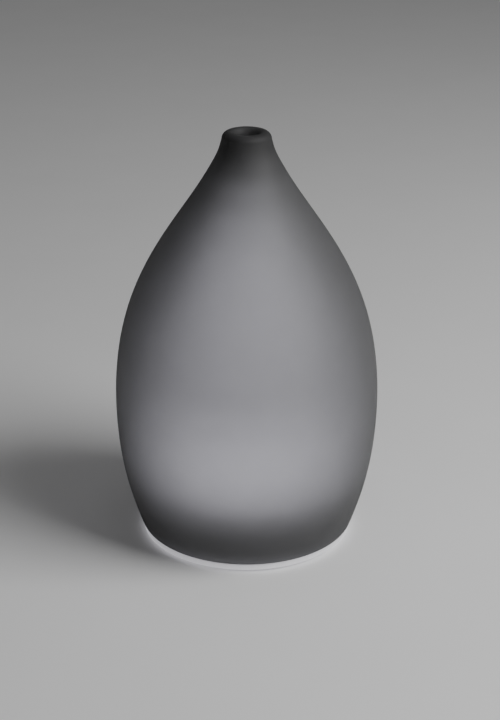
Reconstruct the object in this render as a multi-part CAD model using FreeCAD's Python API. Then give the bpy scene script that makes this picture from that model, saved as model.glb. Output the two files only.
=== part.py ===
"""Cool mist humidifier with a lift-off frosted glass shade, built as separate sub-parts.

Millimetres, +Z up. The origin is the middle of the footprint, on the surface that the feet stand on.
The front is -Y. The power inlet and the two push buttons are at the back, +Y, in a notch of the shade.
"""

import FreeCAD, Part
import math
import os

Vector = FreeCAD.Vector
UP = Vector(0, 0, 1)

# ---- Driving dimensions -------------------------------------------------------------------------

# Glass shade: radius and height of the points that its outer curve passes through, foot to neck.
SHADE_CURVE = [
    (43.9, 3.8), (49.4, 22.0), (53.0, 45.0), (53.1, 70.0), (48.6, 95.0),
    (40.4, 115.0), (30.1, 132.0), (19.9, 147.0), (13.3, 158.0), (11.1, 162.6), (9.8, 167.0),
]
HEIGHT = 170.0
GLASS = 2.4
OUTLET_RADIUS = 4.7
OUTLET_LOW = 165.6

# Base, from the floor up.
FLOOR_GAP = 1.0
COVER_TOP = 3.0
COVER_RADIUS = 40.4
RECESS_TOP = FLOOR_GAP + 1.0
RING_RADIUS = 43.2
RING_TOP = 3.6
LEDGE_RADIUS = 38.8
LEDGE_TOP = 4.0
HOUSING_RADIUS = 39.7
HOUSING_WALL = 1.8
HOUSING_TOP = 23.6
GASKET = 0.8
TANK_RADIUS = 40.2
TANK_WALL = 2.0
TANK_FLOOR = 2.2
TANK_TOP = 64.0
BOSS_LOW = 21.0
LIFT_GAP = 0.3

# Air path, at the front.
FAN_Y = -22.5
FAN_SIDE = 25.0
FAN_LOW = 4.2
FAN_TOP = 14.2
FAN_FLANGE = 1.0
SHAFT_RADIUS = 0.95
SHAFT_BORE = 1.0
BEARING_RADIUS = 2.2
ROTOR_TOP = 13.5
CUP_TOP = 0.9
CUP_WALL = 0.75
TOWER_Y = -30.5
TOWER_WIDE = 20.0
TOWER_DEEP = 7.0
TOWER_WALL = 1.5
TOWER_TOP = 58.0

# Ultrasonic disc, in the middle of the tank floor.
DISC_RADIUS = 10.0
DISC_THICK = 0.65
SPOT_X = 1.2
SPOT_Y = -3.4
SEAL_LOW = 21.2
WELL_RADIUS = 8.2
HOLDER_RADIUS = 15.5
HOLDER_LOW = 19.6
CLAMP_THICK = 1.4

# Controls, at the back.
PANEL_HALF = 18.6
PANEL_TOP = 18.6
PANEL_SKIN = 1.8
CONTROL_Z = 11.6
BUTTON_ANGLE = 16.1
BUTTON_RADIUS = 3.1
BUTTON_PROUD = 0.8
BARREL_BORE = 2.75
JACK_NOSE = 3.8
JACK_HOLE = 4.0
JACK_FACE = 43.0
BARREL_PIN = 1.05
PIN_ROOT = 0.88
SWITCH_BACK = 31.0
SWITCH_FRONT = 34.4
PLUNGER_TIP = 35.2

# Electronics.
BOARD_RADIUS = 29.0
BOARD_LOW = 5.5
BOARD_THICK = 1.6
BOARD_TOP = BOARD_LOW + BOARD_THICK
LED_BOARD_LOW = 20.0
LED_BOARD_THICK = 1.4
LED_AT = 22.5
PLUG_DEEP = 4.4
PLUG_TOP = BOARD_TOP + 5.0
FAN_PLUG = (-9.0, -1.6)
LED_PLUG = (14.0, -1.6)
DISC_PLUG = (3.0, -1.6)

# Screws: the heads, the shanks in their plastic posts and the holes that clear them.
SMALL_HEAD = 1.8
SMALL_SHANK = 0.93
SMALL_PILOT = 0.95
SMALL_CLEAR = 1.15
TANK_HEAD = 2.75
TANK_SHANK = 1.4
TANK_PILOT = 1.45
TANK_HEAD_TOP = 6.5
TANK_CLEAR = 1.65
COVER_HEAD = 2.3
COVER_SHANK = 1.1
COVER_PILOT = 1.12
COVER_CLEAR = 1.4
BOARD_HEAD = 2.1
BOARD_SHANK = 1.03
BOARD_PILOT = 1.05
BOARD_CLEAR = 1.3
POST_RADIUS = 2.6
SLIM_POST_RADIUS = 2.2

# Screw places.
TANK_SCREW_AT = 34.0
COVER_SCREW_AT = 35.6
CORNERS = (45, 135, 225, 315)
COVER_SCREW_ANGLES = (15, 165, 195, 345)
CLAMP_SCREW_ANGLES = (90, 210, 330)
CLAMP_SCREW_AT = 13.0
LED_SCREW_ANGLES = (0, 90, 180)
LED_SCREW_AT = 26.5
BOARD_FRONT = -6.0
BOARD_SCREWS = ((-24.0, 5.0), (24.0, 5.0), (0.0, 21.5))
FOOT_AT = 33.0
FOOT_RADIUS = 4.5

# How far a cutting tool reaches: below the floor, behind the tank, over the base and past the shade.
UNDER = 0.0
BACK = 30.0
OVER = 40.0
BEYOND = 60.0

# Worked out from the above.
TANK_LOW = HOUSING_TOP + GASKET
TANK_FLOOR_TOP = TANK_LOW + TANK_FLOOR
HOUSING_INNER = HOUSING_RADIUS - HOUSING_WALL
TANK_INNER = TANK_RADIUS - TANK_WALL
SEAL_TOP = TANK_LOW - 0.4
DISC_MIDDLE = (SEAL_LOW + SEAL_TOP) / 2
DISC_LOW = DISC_MIDDLE - DISC_THICK / 2
DISC_SPOT_LOW = DISC_LOW - 0.8
FAN_HALF = FAN_SIDE / 2
FAN_HOLE = FAN_HALF - 2.5
HUB_RADIUS = 0.54 * FAN_HALF


# ---- Shape helpers ------------------------------------------------------------------------------

def cylinder(radius, low, high, x=0.0, y=0.0):
    return Part.makeCylinder(radius, high - low, Vector(x, y, low), UP)


def tube(outer, inner, low, high, x=0.0, y=0.0):
    return cylinder(outer, low, high, x, y).cut(cylinder(inner, low - 1, high + 1, x, y))


def block(x0, x1, y0, y1, z0, z1):
    return Part.makeBox(x1 - x0, y1 - y0, z1 - z0, Vector(x0, y0, z0))


def centred_block(x, y, wide, deep, low, high):
    return block(x - wide / 2, x + wide / 2, y - deep / 2, y + deep / 2, low, high)


def turned(shape, degrees, x=0.0, y=0.0):
    copy = shape.copy()
    copy.rotate(Vector(x, y, 0), UP, degrees)
    return copy


def polar(radius, degrees):
    angle = math.radians(degrees)
    return radius * math.cos(angle), radius * math.sin(angle)


def profile_point(pair):
    return Vector(pair[0], 0, pair[1])


def revolve_wire(edges):
    face = Part.Face(Part.Wire(Part.__sortEdges__(edges)))
    return face.revolve(Vector(0, 0, 0), UP, 360)


def revolve_outline(corners):
    """A ring or disc from (radius, height) corners joined by straight lines."""
    points = [profile_point(c) for c in corners]
    return Part.Face(Part.makePolygon(points + points[:1])).revolve(Vector(0, 0, 0), UP, 360)


def smooth_curve(points):
    curve = Part.BSplineCurve()
    curve.interpolate(Points=points)
    return curve


def set_in(curve, points, wall):
    """The curve's own points, moved inward along its normals by the wall's thickness."""
    moved = []
    for p in points:
        along = curve.tangent(curve.parameter(p))[0]
        inward = Vector(-along.z, 0, along.x)
        moved.append(p + inward * wall)
    return moved


def line(a, b):
    return Part.LineSegment(a, b).toShape()


def quarter(centre, start, middle_degrees, end, radius):
    """An arc in the profile plane through start, a point at middle_degrees from the centre, and end."""
    angle = math.radians(middle_degrees)
    middle = centre + Vector(radius * math.cos(angle), 0, radius * math.sin(angle))
    return Part.Arc(start, middle, end).toShape()


def rounded_plate(x, y, wide, deep, corner, z):
    """A closed wire: a rectangle with round corners, at height z."""
    w, d, r = wide / 2, deep / 2, corner
    k = r * (1 - math.sqrt(0.5))
    edges = []
    for sx, sy, across in ((1, 1, False), (-1, 1, True), (-1, -1, False), (1, -1, True)):
        a = Vector(x + sx * w, y + sy * (d - r), z)
        b = Vector(x + sx * (w - r), y + sy * d, z)
        m = Vector(x + sx * (w - k), y + sy * (d - k), z)
        edges.append(Part.Arc(*((b, m, a) if across else (a, m, b))))
    wire = []
    for i, arc in enumerate(edges):
        wire.append(arc.toShape())
        wire.append(line(arc.EndPoint, edges[(i + 1) % 4].StartPoint))
    return Part.Wire(wire)


def rounded_block(x, y, wide, deep, corner, low, high):
    face = Part.Face(rounded_plate(x, y, wide, deep, corner, low))
    return face.extrude(Vector(0, 0, high - low))


def joined(first, *others):
    solid = first.fuse(list(others)).removeSplitter()
    return solid.Solids[0] if len(solid.Solids) == 1 else solid


def radially(shape, degrees):
    """A shape made along +Y, turned clockwise about Z seen from above, as the mist side needs."""
    return turned(shape, -degrees)


def along_y(radius, near, far, x, z):
    return Part.makeCylinder(radius, far - near, Vector(x, near, z), Vector(0, 1, 0))


def screw(x, y, head_radius, head_low, head_high, shank_radius, tip, head_below):
    """A pan-head screw with a cross recess. Its tip points away from its head."""
    head = cylinder(head_radius, head_low, head_high, x, y)
    face = head_low if head_below else head_high
    outer_rim = [e for e in head.Edges if abs(e.CenterOfMass.z - face) < 1e-6]
    head = head.makeFillet((head_high - head_low) * 0.35, outer_rim[:1])
    low, high = (head_high, tip) if head_below else (tip, head_low)
    body = joined(head, cylinder(shank_radius, low, high, x, y))
    depth, arm = (head_high - head_low) * 0.6, head_radius * 1.1
    floor, top = (head_low - 1, head_low + depth) if head_below else (head_high - depth, head_high + 1)
    for wide, deep in ((arm, arm * 0.22), (arm * 0.22, arm)):
        body = body.cut(centred_block(x, y, wide, deep, floor, top))
    return body


def wire_path(points, share=0.45):
    """Straight runs joined by tangent arcs, each as large as its two runs allow."""
    points = [Vector(*p) for p in points]
    edges, start = [], points[0]
    for before, at, after in zip(points, points[1:], points[2:]):
        back, ahead = before - at, after - at
        run = share * min(back.Length, ahead.Length)
        back.normalize()
        ahead.normalize()
        p, q = at + back * run, at + ahead * run
        half = math.acos(max(-1, min(1, back.dot(ahead)))) / 2
        radius = run * math.tan(half)
        centre = at + (back + ahead).normalize() * (run / math.cos(half))
        middle = centre + (at - centre).normalize() * radius
        edges += [line(start, p), Part.Arc(p, middle, q).toShape()]
        start = q
    edges.append(line(start, points[-1]))
    return Part.Wire(edges)


def lead(points, radius):
    """A round insulated wire along a path."""
    path = wire_path(points)
    first = Vector(*points[0])
    ahead = Vector(*points[1]) - first
    disc = Part.Wire(Part.Circle(first, ahead, radius).toShape())
    return path.makePipeShell([disc], True, True)


def save(name, *shapes):
    solids = [s for shape in shapes for s in shape.Solids]
    part = solids[0] if len(solids) == 1 else Part.makeCompound(solids)
    if not part.isValid():
        print("not valid:", name)
    part.exportStep(os.path.join("parts", name + ".step"))
    print(f"{name:18s} solids {len(solids)}  volume {sum(s.Volume for s in solids):10.1f} mm3")


# ---- Shade and dome, which lift off -------------------------------------------------------------

def shade_notch():
    """The space cut from the shade's foot so that it drops over the control panel."""
    margin, corner = 1.4, 6.0
    half, top = PANEL_HALF + margin, PANEL_TOP + margin
    cutter = block(-half, half, BACK, BEYOND, UNDER, top)
    corners = [e for e in cutter.Edges if e.BoundBox.ZMin > top - 1e-6 and e.BoundBox.XLength < 1e-6]
    return cutter.makeFillet(corner, corners)


def glass_shade():
    outer_points = [profile_point(p) for p in SHADE_CURVE]
    neck = outer_points[-1]
    outer = smooth_curve(outer_points)
    inner_points = set_in(outer, outer_points[:-2], GLASS)
    inner_points[0].z = outer_points[0].z
    outlet = Vector(OUTLET_RADIUS, 0, OUTLET_LOW)
    throat = Vector(OUTLET_RADIUS + 1.6, 0, OUTLET_LOW - 3.4)
    inner = smooth_curve(inner_points + [throat, outlet])
    lip_out = HEIGHT - neck.z
    crest = Vector(neck.x - lip_out, 0, HEIGHT)
    lip_in = crest.x - OUTLET_RADIUS
    edge = Vector(OUTLET_RADIUS, 0, HEIGHT - lip_in)
    lip_out_centre = Vector(crest.x, 0, neck.z)
    lip_in_centre = Vector(crest.x, 0, HEIGHT - lip_in)
    shell = revolve_wire([
        line(inner_points[0], outer_points[0]),
        outer.toShape(),
        quarter(lip_out_centre, neck, 45, crest, lip_out),
        quarter(lip_in_centre, crest, 135, edge, lip_in),
        line(edge, outlet),
        inner.toShape(),
    ])
    return shell.cut(shade_notch())


def mist_dome():
    """The cover over the tank, with the chimney that carries mist to the shade's outlet."""
    wall, skirt_low, skirt_top = 1.6, TANK_TOP + LIFT_GAP, TANK_TOP + 3.5
    spigot, spigot_low = TANK_INNER - LIFT_GAP, TANK_TOP - 4.0
    chimney_top, chimney_bore = 160.0, 4.9
    shoulder = [(TANK_RADIUS, skirt_top), (37.9, 77.5), (33.4, 88.0), (27.6, 100.0), (21.8, 112.0),
                (16.6, 124.0), (12.4, 136.0), (9.0, 148.0), (chimney_bore + 1.3, chimney_top)]
    outer_points = [profile_point(p) for p in shoulder]
    outer = smooth_curve(outer_points)
    inner_points = set_in(outer, outer_points, wall)
    inner_points[0] = Vector(spigot - wall, 0, skirt_top)
    inner_points[-1] = Vector(chimney_bore, 0, chimney_top)
    inner = smooth_curve(inner_points)
    low = [(TANK_RADIUS, skirt_top), (TANK_RADIUS, skirt_low), (spigot, skirt_low),
           (spigot, spigot_low), (spigot - wall, spigot_low), (spigot - wall, skirt_top)]
    corners = [profile_point(c) for c in low]
    edges = [line(a, b) for a, b in zip(corners, corners[1:])]
    edges += [outer.toShape(), inner.toShape(), line(outer_points[-1], inner_points[-1])]
    return revolve_wire(edges)


# ---- Base ---------------------------------------------------------------------------------------

def light_ring():
    """The opal ring under the shade, with the upstand that centres the shade and the clamped ledge."""
    shoulder, upstand, seat, upstand_top = 40.9, HOUSING_RADIUS + 0.2, 40.6, RING_TOP + 2.6
    body = revolve_outline([
        (seat, FLOOR_GAP), (RING_RADIUS, FLOOR_GAP), (RING_RADIUS, RING_TOP), (shoulder, RING_TOP),
        (shoulder, upstand_top), (upstand, upstand_top), (upstand, LEDGE_TOP), (LEDGE_RADIUS, LEDGE_TOP),
        (LEDGE_RADIUS, COVER_TOP), (seat, COVER_TOP),
    ])
    rims = [e for e in body.Edges if abs(e.BoundBox.XMax - RING_RADIUS) < 1e-6 and e.BoundBox.ZLength < 1e-6]
    body = body.makeFillet(0.35, rims)
    panel_gap = tube(BEYOND, HOUSING_RADIUS, RING_TOP, PANEL_TOP)
    return body.cut(panel_gap.common(block(-PANEL_HALF, PANEL_HALF, BACK, BEYOND, UNDER, PANEL_TOP)))


def bottom_cover():
    body = cylinder(COVER_RADIUS, FLOOR_GAP, COVER_TOP)
    for angle in CORNERS:
        body = body.cut(cylinder(FOOT_RADIUS + 0.1, UNDER, RECESS_TOP, *polar(FOOT_AT, angle)))
    for angle in COVER_SCREW_ANGLES:
        x, y = polar(COVER_SCREW_AT, angle)
        body = body.cut(cylinder(POST_RADIUS, UNDER, RECESS_TOP, x, y))
        body = body.cut(cylinder(COVER_CLEAR, UNDER, OVER, x, y))
    posts = [cylinder(SLIM_POST_RADIUS, COVER_TOP, FAN_LOW, sx * FAN_HOLE, FAN_Y + sy * FAN_HOLE)
             for sx in (-1, 1) for sy in (-1, 1)]
    posts += [cylinder(POST_RADIUS, COVER_TOP, BOARD_LOW, x, y) for x, y in BOARD_SCREWS]
    body = joined(body, *posts)
    for s in (-1, 1):
        body = body.cut(cylinder(SMALL_PILOT, RECESS_TOP, OVER, s * FAN_HOLE, FAN_Y + s * FAN_HOLE))
    for x, y in BOARD_SCREWS:
        body = body.cut(cylinder(BOARD_PILOT, RECESS_TOP, OVER, x, y))
    return body.cut(Part.makeCompound(intake_slots()))


def intake_slots():
    """Round-ended slots across the fan's circle."""
    slots, slot, pitch, reach = [], 2.0, 3.6, 13.4
    for i in range(-3, 4):
        offset = i * pitch
        half = math.sqrt(reach ** 2 - offset ** 2) - slot / 2
        slots.append(rounded_block(offset, FAN_Y, slot, 2 * half, slot / 2 - 0.01, UNDER, COVER_TOP + 1))
    return slots


def base_housing():
    body = tube(HOUSING_RADIUS, HOUSING_INNER, COVER_TOP, HOUSING_TOP)
    tank_posts = [cylinder(4.2, COVER_TOP, BOSS_LOW, *polar(TANK_SCREW_AT, a)) for a in CORNERS]
    cover_posts = [cylinder(POST_RADIUS, COVER_TOP, 14.0, *polar(COVER_SCREW_AT, a))
                   for a in COVER_SCREW_ANGLES]
    outside = tube(BEYOND, HOUSING_RADIUS, UNDER, OVER)
    body = joined(body, *tank_posts, *cover_posts).cut(outside)
    for angle in CORNERS:
        x, y = polar(TANK_SCREW_AT, angle)
        body = body.cut(cylinder(TANK_HEAD + 0.2, UNDER, TANK_HEAD_TOP, x, y))
        body = body.cut(cylinder(TANK_CLEAR, UNDER, OVER, x, y))
    for angle in COVER_SCREW_ANGLES:
        body = body.cut(cylinder(COVER_PILOT, UNDER, 12.0, *polar(COVER_SCREW_AT, angle)))
    body = body.cut(tube(BEYOND, LEDGE_RADIUS - 0.1, UNDER, LEDGE_TOP + 0.05))
    window = block(-15.5, 15.5, BACK + 4, BEYOND, BOARD_LOW - 0.5, PANEL_TOP - 1.4)
    return body.cut(window)


def control_panel():
    """The curved block in the shade's notch, with holes for the inlet and both buttons."""
    depth, wall, half, corner = HOUSING_RADIUS, 1.6, PANEL_HALF - LIFT_GAP, 4.6
    arc = tube(RING_RADIUS, depth, RING_TOP, PANEL_TOP)
    body = arc.common(block(-half, half, BACK, BEYOND, RING_TOP, PANEL_TOP))
    rims = [e for e in body.Edges if e.CenterOfMass.y > 0 and abs(e.CenterOfMass.x) > half - 1e-3
            and abs(e.CenterOfMass.z - PANEL_TOP) < 1e-3]
    body = body.makeFillet(corner, rims)
    hollow = tube(RING_RADIUS - PANEL_SKIN, depth - 1, RING_TOP + wall, PANEL_TOP - wall)
    body = body.cut(hollow.common(block(wall - half, half - wall, BACK, BEYOND, UNDER, OVER)))
    body = body.cut(along_y(JACK_HOLE, BACK, BEYOND, 0, CONTROL_Z))
    for side in (-1, 1):
        hole = along_y(BUTTON_RADIUS + LIFT_GAP, BACK, BEYOND, 0, CONTROL_Z)
        body = body.cut(radially(hole, side * BUTTON_ANGLE))
    return body


def rubber_feet():
    feet = []
    for angle in CORNERS:
        foot = cylinder(FOOT_RADIUS, 0, RECESS_TOP, *polar(FOOT_AT, angle))
        rim = [e for e in foot.Edges if e.BoundBox.ZMax < 1e-6]
        feet.append(foot.makeFillet(0.5, rim[:1]))
    return feet


def cover_screws():
    low = FLOOR_GAP + 0.1
    return [screw(*polar(COVER_SCREW_AT, a), COVER_HEAD, low, RECESS_TOP, COVER_SHANK, 10.5, True)
            for a in COVER_SCREW_ANGLES]


# ---- Tank and ultrasonic disc -------------------------------------------------------------------

def water_tank():
    cup = tube(TANK_RADIUS, TANK_INNER, TANK_LOW, TANK_TOP)
    rim = [e for e in cup.Edges if abs(e.BoundBox.ZMin - TANK_TOP) < 1e-6]
    cup = cup.makeFillet(0.5, rim)
    floor = cylinder(TANK_INNER + 0.5, TANK_LOW, TANK_FLOOR_TOP)
    spigot = tube(HOUSING_INNER - 0.2, HOUSING_INNER - 1.6, HOUSING_TOP - 2.1, TANK_LOW)
    holder = cylinder(HOLDER_RADIUS, HOLDER_LOW, TANK_LOW)
    tower = rounded_block(0, TOWER_Y, TOWER_WIDE + 2 * TOWER_WALL, TOWER_DEEP + 2 * TOWER_WALL,
                          2.5, TANK_LOW, TOWER_TOP)
    bosses = [cylinder(3.6, BOSS_LOW, TANK_LOW, *polar(TANK_SCREW_AT, a)) for a in CORNERS]
    bosses += [cylinder(2.2, LED_BOARD_LOW + LED_BOARD_THICK, TANK_LOW, *polar(LED_SCREW_AT, a))
               for a in LED_SCREW_ANGLES]
    body = joined(cup, floor, spigot, holder, tower, *bosses)
    body = body.cut(rounded_block(0, TOWER_Y, TOWER_WIDE, TOWER_DEEP, 1.2, UNDER, HEIGHT))
    body = body.cut(cylinder(DISC_RADIUS + 0.45, UNDER, SEAL_TOP)).cut(cylinder(WELL_RADIUS, UNDER, OVER))
    body = body.cut(tube(BEYOND, HOUSING_INNER - 0.2, UNDER, TANK_LOW))
    for angle in CORNERS:
        body = body.cut(cylinder(TANK_PILOT, UNDER, TANK_LOW + 1.0, *polar(TANK_SCREW_AT, angle)))
    for angle in LED_SCREW_ANGLES:
        body = body.cut(cylinder(SMALL_PILOT, UNDER, TANK_LOW + 1.0, *polar(LED_SCREW_AT, angle)))
    for angle in CLAMP_SCREW_ANGLES:
        body = body.cut(cylinder(SMALL_PILOT, UNDER, TANK_LOW - 0.6, *polar(CLAMP_SCREW_AT, angle)))
    return joined(body, fill_mark())


def fill_mark():
    """The raised line inside the tank wall at the highest water level."""
    middle, half = 52.0, 0.4
    line_round = tube(TANK_INNER + 0.3, TANK_INNER - 0.5, middle - half, middle + half)
    return line_round.cut(block(-14, 14, -BEYOND, 0, middle - 1, middle + 1))


def tank_gasket():
    return tube(HOUSING_RADIUS - 0.1, HOUSING_INNER + 0.1, HOUSING_TOP, TANK_LOW)


def tank_screws():
    return [screw(*polar(TANK_SCREW_AT, a), TANK_HEAD, TANK_HEAD_TOP - 1.9, TANK_HEAD_TOP, TANK_SHANK,
                  TANK_LOW + 0.8, True) for a in CORNERS]


def atomiser_seal():
    """The silicone ring whose groove holds the disc."""
    body = tube(DISC_RADIUS + 0.4, WELL_RADIUS, SEAL_LOW, SEAL_TOP)
    return body.cut(cylinder(DISC_RADIUS, DISC_LOW, DISC_LOW + DISC_THICK))


def atomiser_disc():
    """The piezo disc: a thin metal face with a smaller ceramic layer and two solder spots beneath."""
    face = cylinder(DISC_RADIUS - 0.02, DISC_LOW, DISC_LOW + DISC_THICK)
    spots = [cylinder(0.9, DISC_SPOT_LOW, DISC_LOW, SPOT_X + s * 1.1, SPOT_Y) for s in (-1, 1)]
    return joined(face, cylinder(7.4, DISC_LOW - 0.3, DISC_LOW), *spots)


def atomiser_clamp():
    """The pressed metal ring that holds the seal and disc up into the tank."""
    plate = tube(HOLDER_RADIUS - 0.3, 6.5, HOLDER_LOW - CLAMP_THICK, HOLDER_LOW)
    collar = tube(DISC_RADIUS + 0.2, WELL_RADIUS + 0.1, HOLDER_LOW - 0.2, SEAL_LOW)
    body = joined(plate, collar)
    for angle in CLAMP_SCREW_ANGLES:
        body = body.cut(cylinder(SMALL_CLEAR, UNDER, OVER, *polar(CLAMP_SCREW_AT, angle)))
    return body


def atomiser_clamp_screws():
    top = HOLDER_LOW - CLAMP_THICK
    tip = TANK_LOW - 1.0
    return [screw(*polar(CLAMP_SCREW_AT, a), SMALL_HEAD, top - 1.1, top, SMALL_SHANK, tip, True)
            for a in CLAMP_SCREW_ANGLES]


# ---- Fan and air duct ---------------------------------------------------------------------------

def fan_frame():
    body = rounded_block(0, FAN_Y, FAN_SIDE, FAN_SIDE, 2.4, FAN_LOW, FAN_TOP)
    body = body.cut(cylinder(FAN_HALF - 0.7, UNDER, OVER, 0, FAN_Y))
    plate_top = FAN_LOW + 1.0
    hub = cylinder(HUB_RADIUS, FAN_LOW, plate_top, 0, FAN_Y)
    strut = block(-0.9, 0.9, FAN_Y + 5, FAN_Y + FAN_HALF - 0.4, FAN_LOW, plate_top)
    struts = [turned(strut, a, 0, FAN_Y) for a in (30, 150, 270)]
    body = joined(body, hub, *struts).cut(cylinder(BEARING_RADIUS + 0.05, UNDER, OVER, 0, FAN_Y))
    return body.cut(Part.makeCompound(fan_holes()))


def fan_holes():
    return [cylinder(SMALL_CLEAR, UNDER, OVER, sx * FAN_HOLE, FAN_Y + sy * FAN_HOLE)
            for sx in (-1, 1) for sy in (-1, 1)]


def fan_bearing():
    return tube(BEARING_RADIUS, SHAFT_BORE, FAN_LOW, FAN_LOW + 7.4, 0, FAN_Y)


def stator_coils():
    """Four wound poles round the bearing, on one steel core."""
    low = FAN_LOW
    core = tube(3.0, BEARING_RADIUS + 0.05, low + 1.2, low + 6.2, 0, FAN_Y)
    pole = centred_block(3.6, FAN_Y, 1.8, 1.6, low + 2.6, low + 4.8)
    winding = centred_block(3.5, FAN_Y, 1.1, 2.8, low + 1.9, low + 5.5)
    shoe = tube(4.9, 4.2, low + 2.2, low + 5.2, 0, FAN_Y)
    shoe = shoe.common(centred_block(5, FAN_Y, 2.6, 4.0, UNDER, OVER))
    parts = [turned(p, angle, 0, FAN_Y) for angle in CORNERS for p in (pole, winding, shoe)]
    return joined(core, *parts)


def fan_impeller():
    tip, low, top, blades, pitch = FAN_HALF - 1.1, FAN_LOW + 2.0, ROTOR_TOP, 7, 38
    cup = cylinder(HUB_RADIUS, low, top, 0, FAN_Y)
    cup = cup.makeFillet(0.8, [e for e in cup.Edges if abs(e.BoundBox.ZMin - top) < 1e-6][:1])
    cup = cup.cut(cylinder(HUB_RADIUS - CUP_WALL, low - 1, top - CUP_TOP, 0, FAN_Y))
    ring = tube(tip, HUB_RADIUS - 0.4, low + 0.4, top - 0.4, 0, FAN_Y)
    blade = block(-0.4, 0.4, 0, 20, -8, 8)
    blade.rotate(Vector(0, 0, 0), Vector(0, 1, 0), pitch)
    blade.translate(Vector(0, FAN_Y, (low + top) / 2))
    blade = blade.common(ring)
    fins = [turned(blade, i * 360 / blades, 0, FAN_Y) for i in range(blades)]
    return joined(cup, *fins)


def rotor_magnet():
    return tube(HUB_RADIUS - CUP_WALL, HUB_RADIUS - 1.4, FAN_LOW + 2.4, FAN_LOW + 7.8, 0, FAN_Y)


def fan_shaft():
    return cylinder(SHAFT_RADIUS, FAN_LOW + 1.2, ROTOR_TOP - CUP_TOP, 0, FAN_Y)


def air_duct():
    """The hood that leads air from the fan's square top to the tank's narrow tower."""
    wall, flange_top, top = 1.0, FAN_TOP + FAN_FLANGE, TANK_LOW
    wide, corner = FAN_SIDE - 2.0, 0.46 * FAN_SIDE - 1.0

    def hood(inset):
        mouth = rounded_plate(0, FAN_Y, wide - 2 * inset, wide - 2 * inset, corner - inset, flange_top)
        neck_wide, neck_deep = TOWER_WIDE + 2 * (wall - inset), TOWER_DEEP + 2 * (wall - inset)
        neck = rounded_plate(0, TOWER_Y, neck_wide, neck_deep, 2.2 - inset, top)
        return Part.makeLoft([mouth, neck], True, True)

    flange = rounded_block(0, FAN_Y, FAN_SIDE, FAN_SIDE, 2.4, FAN_TOP, flange_top)
    body = joined(flange, hood(0))
    body = body.cut(cylinder(wide / 2 - wall, UNDER, flange_top, 0, FAN_Y)).cut(hood(wall))
    return body.cut(Part.makeCompound(fan_holes()))


def fan_screws():
    head = FAN_TOP + FAN_FLANGE
    tip = RECESS_TOP + 0.2
    return [screw(s * FAN_HOLE, FAN_Y + s * FAN_HOLE, SMALL_HEAD, head, head + 1.1, SMALL_SHANK, tip, False)
            for s in (-1, 1)]


# ---- Electronics --------------------------------------------------------------------------------

def led_board():
    """A C-shaped board under the tank floor, open at the front for the air duct."""
    low, high = LED_BOARD_LOW, LED_BOARD_LOW + LED_BOARD_THICK
    body = tube(BOARD_RADIUS, 17.0, low, high)
    mouth, middle = 110, 270
    gap = Part.makeCylinder(BEYOND, 4, Vector(0, 0, low - 1), UP, mouth)
    body = body.cut(turned(gap, middle - mouth / 2))
    for angle in LED_SCREW_ANGLES:
        body = body.cut(cylinder(SMALL_CLEAR, UNDER, OVER, *polar(LED_SCREW_AT, angle)))
    return body


def leds():
    low, count, first, last = LED_BOARD_LOW + LED_BOARD_THICK, 6, -22, 202
    lamps = []
    for i in range(count):
        angle = first + i * (last - first) / (count - 1)
        package = centred_block(LED_AT, 0, 5.0, 5.0, low, low + 1.5)
        window = cylinder(1.9, low + 1.2, low + 1.9, LED_AT, 0)
        lamps.append(turned(joined(package, window), angle))
    return lamps


def led_board_screws():
    return [screw(*polar(LED_SCREW_AT, a), SMALL_HEAD, LED_BOARD_LOW - 1.1, LED_BOARD_LOW, SMALL_SHANK,
                  TANK_LOW + 0.4, True) for a in LED_SCREW_ANGLES]


def control_board():
    disc = cylinder(BOARD_RADIUS, BOARD_LOW, BOARD_TOP)
    disc = disc.common(block(-BEYOND, BEYOND, BOARD_FRONT, BEYOND, UNDER, OVER))
    tongue = block(-13.5, 13.5, 20, 35.5, BOARD_LOW, BOARD_TOP)
    body = joined(disc, tongue)
    for x, y in BOARD_SCREWS:
        body = body.cut(cylinder(BOARD_CLEAR, UNDER, OVER, x, y))
    return body


def board_screws():
    head_top, tip = BOARD_TOP + 1.3, RECESS_TOP + 0.2
    return [screw(x, y, BOARD_HEAD, BOARD_TOP, head_top, BOARD_SHANK, tip, False) for x, y in BOARD_SCREWS]


def dc_jack():
    """The barrel socket: a square body on the board with a round nose in the panel's hole."""
    half, back, nose_from = 4.5, 28.6, 38.6
    body = block(-half, half, back, nose_from, BOARD_TOP, CONTROL_Z + half)
    nose = along_y(JACK_NOSE, nose_from - 1, JACK_FACE, 0, CONTROL_Z)
    bore = along_y(BARREL_BORE, back + 3, BEYOND, 0, CONTROL_Z)
    return joined(body, nose).cut(bore).cut(along_y(PIN_ROOT + 0.02, back + 1, JACK_FACE, 0, CONTROL_Z))


def jack_pin():
    root, floor, tip = 29.8, 31.6, JACK_FACE - 1.0
    return joined(along_y(BARREL_PIN, floor, tip, 0, CONTROL_Z),
                  along_y(PIN_ROOT, root, floor + 0.1, 0, CONTROL_Z))


def switch_body():
    """A side-push switch with the well that its plunger slides in, made along +Y."""
    half = 3.0
    case = block(-half, half, SWITCH_BACK, SWITCH_FRONT, CONTROL_Z - half, CONTROL_Z + half)
    foot = block(-2.4, 2.4, SWITCH_BACK + 0.6, SWITCH_FRONT - 0.6, BOARD_TOP, CONTROL_Z - half)
    return joined(case, foot).cut(along_y(1.95, SWITCH_BACK + 2, BEYOND, 0, CONTROL_Z))


def switch_plunger():
    return along_y(1.7, SWITCH_FRONT - 0.6, PLUNGER_TIP, 0, CONTROL_Z)


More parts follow.
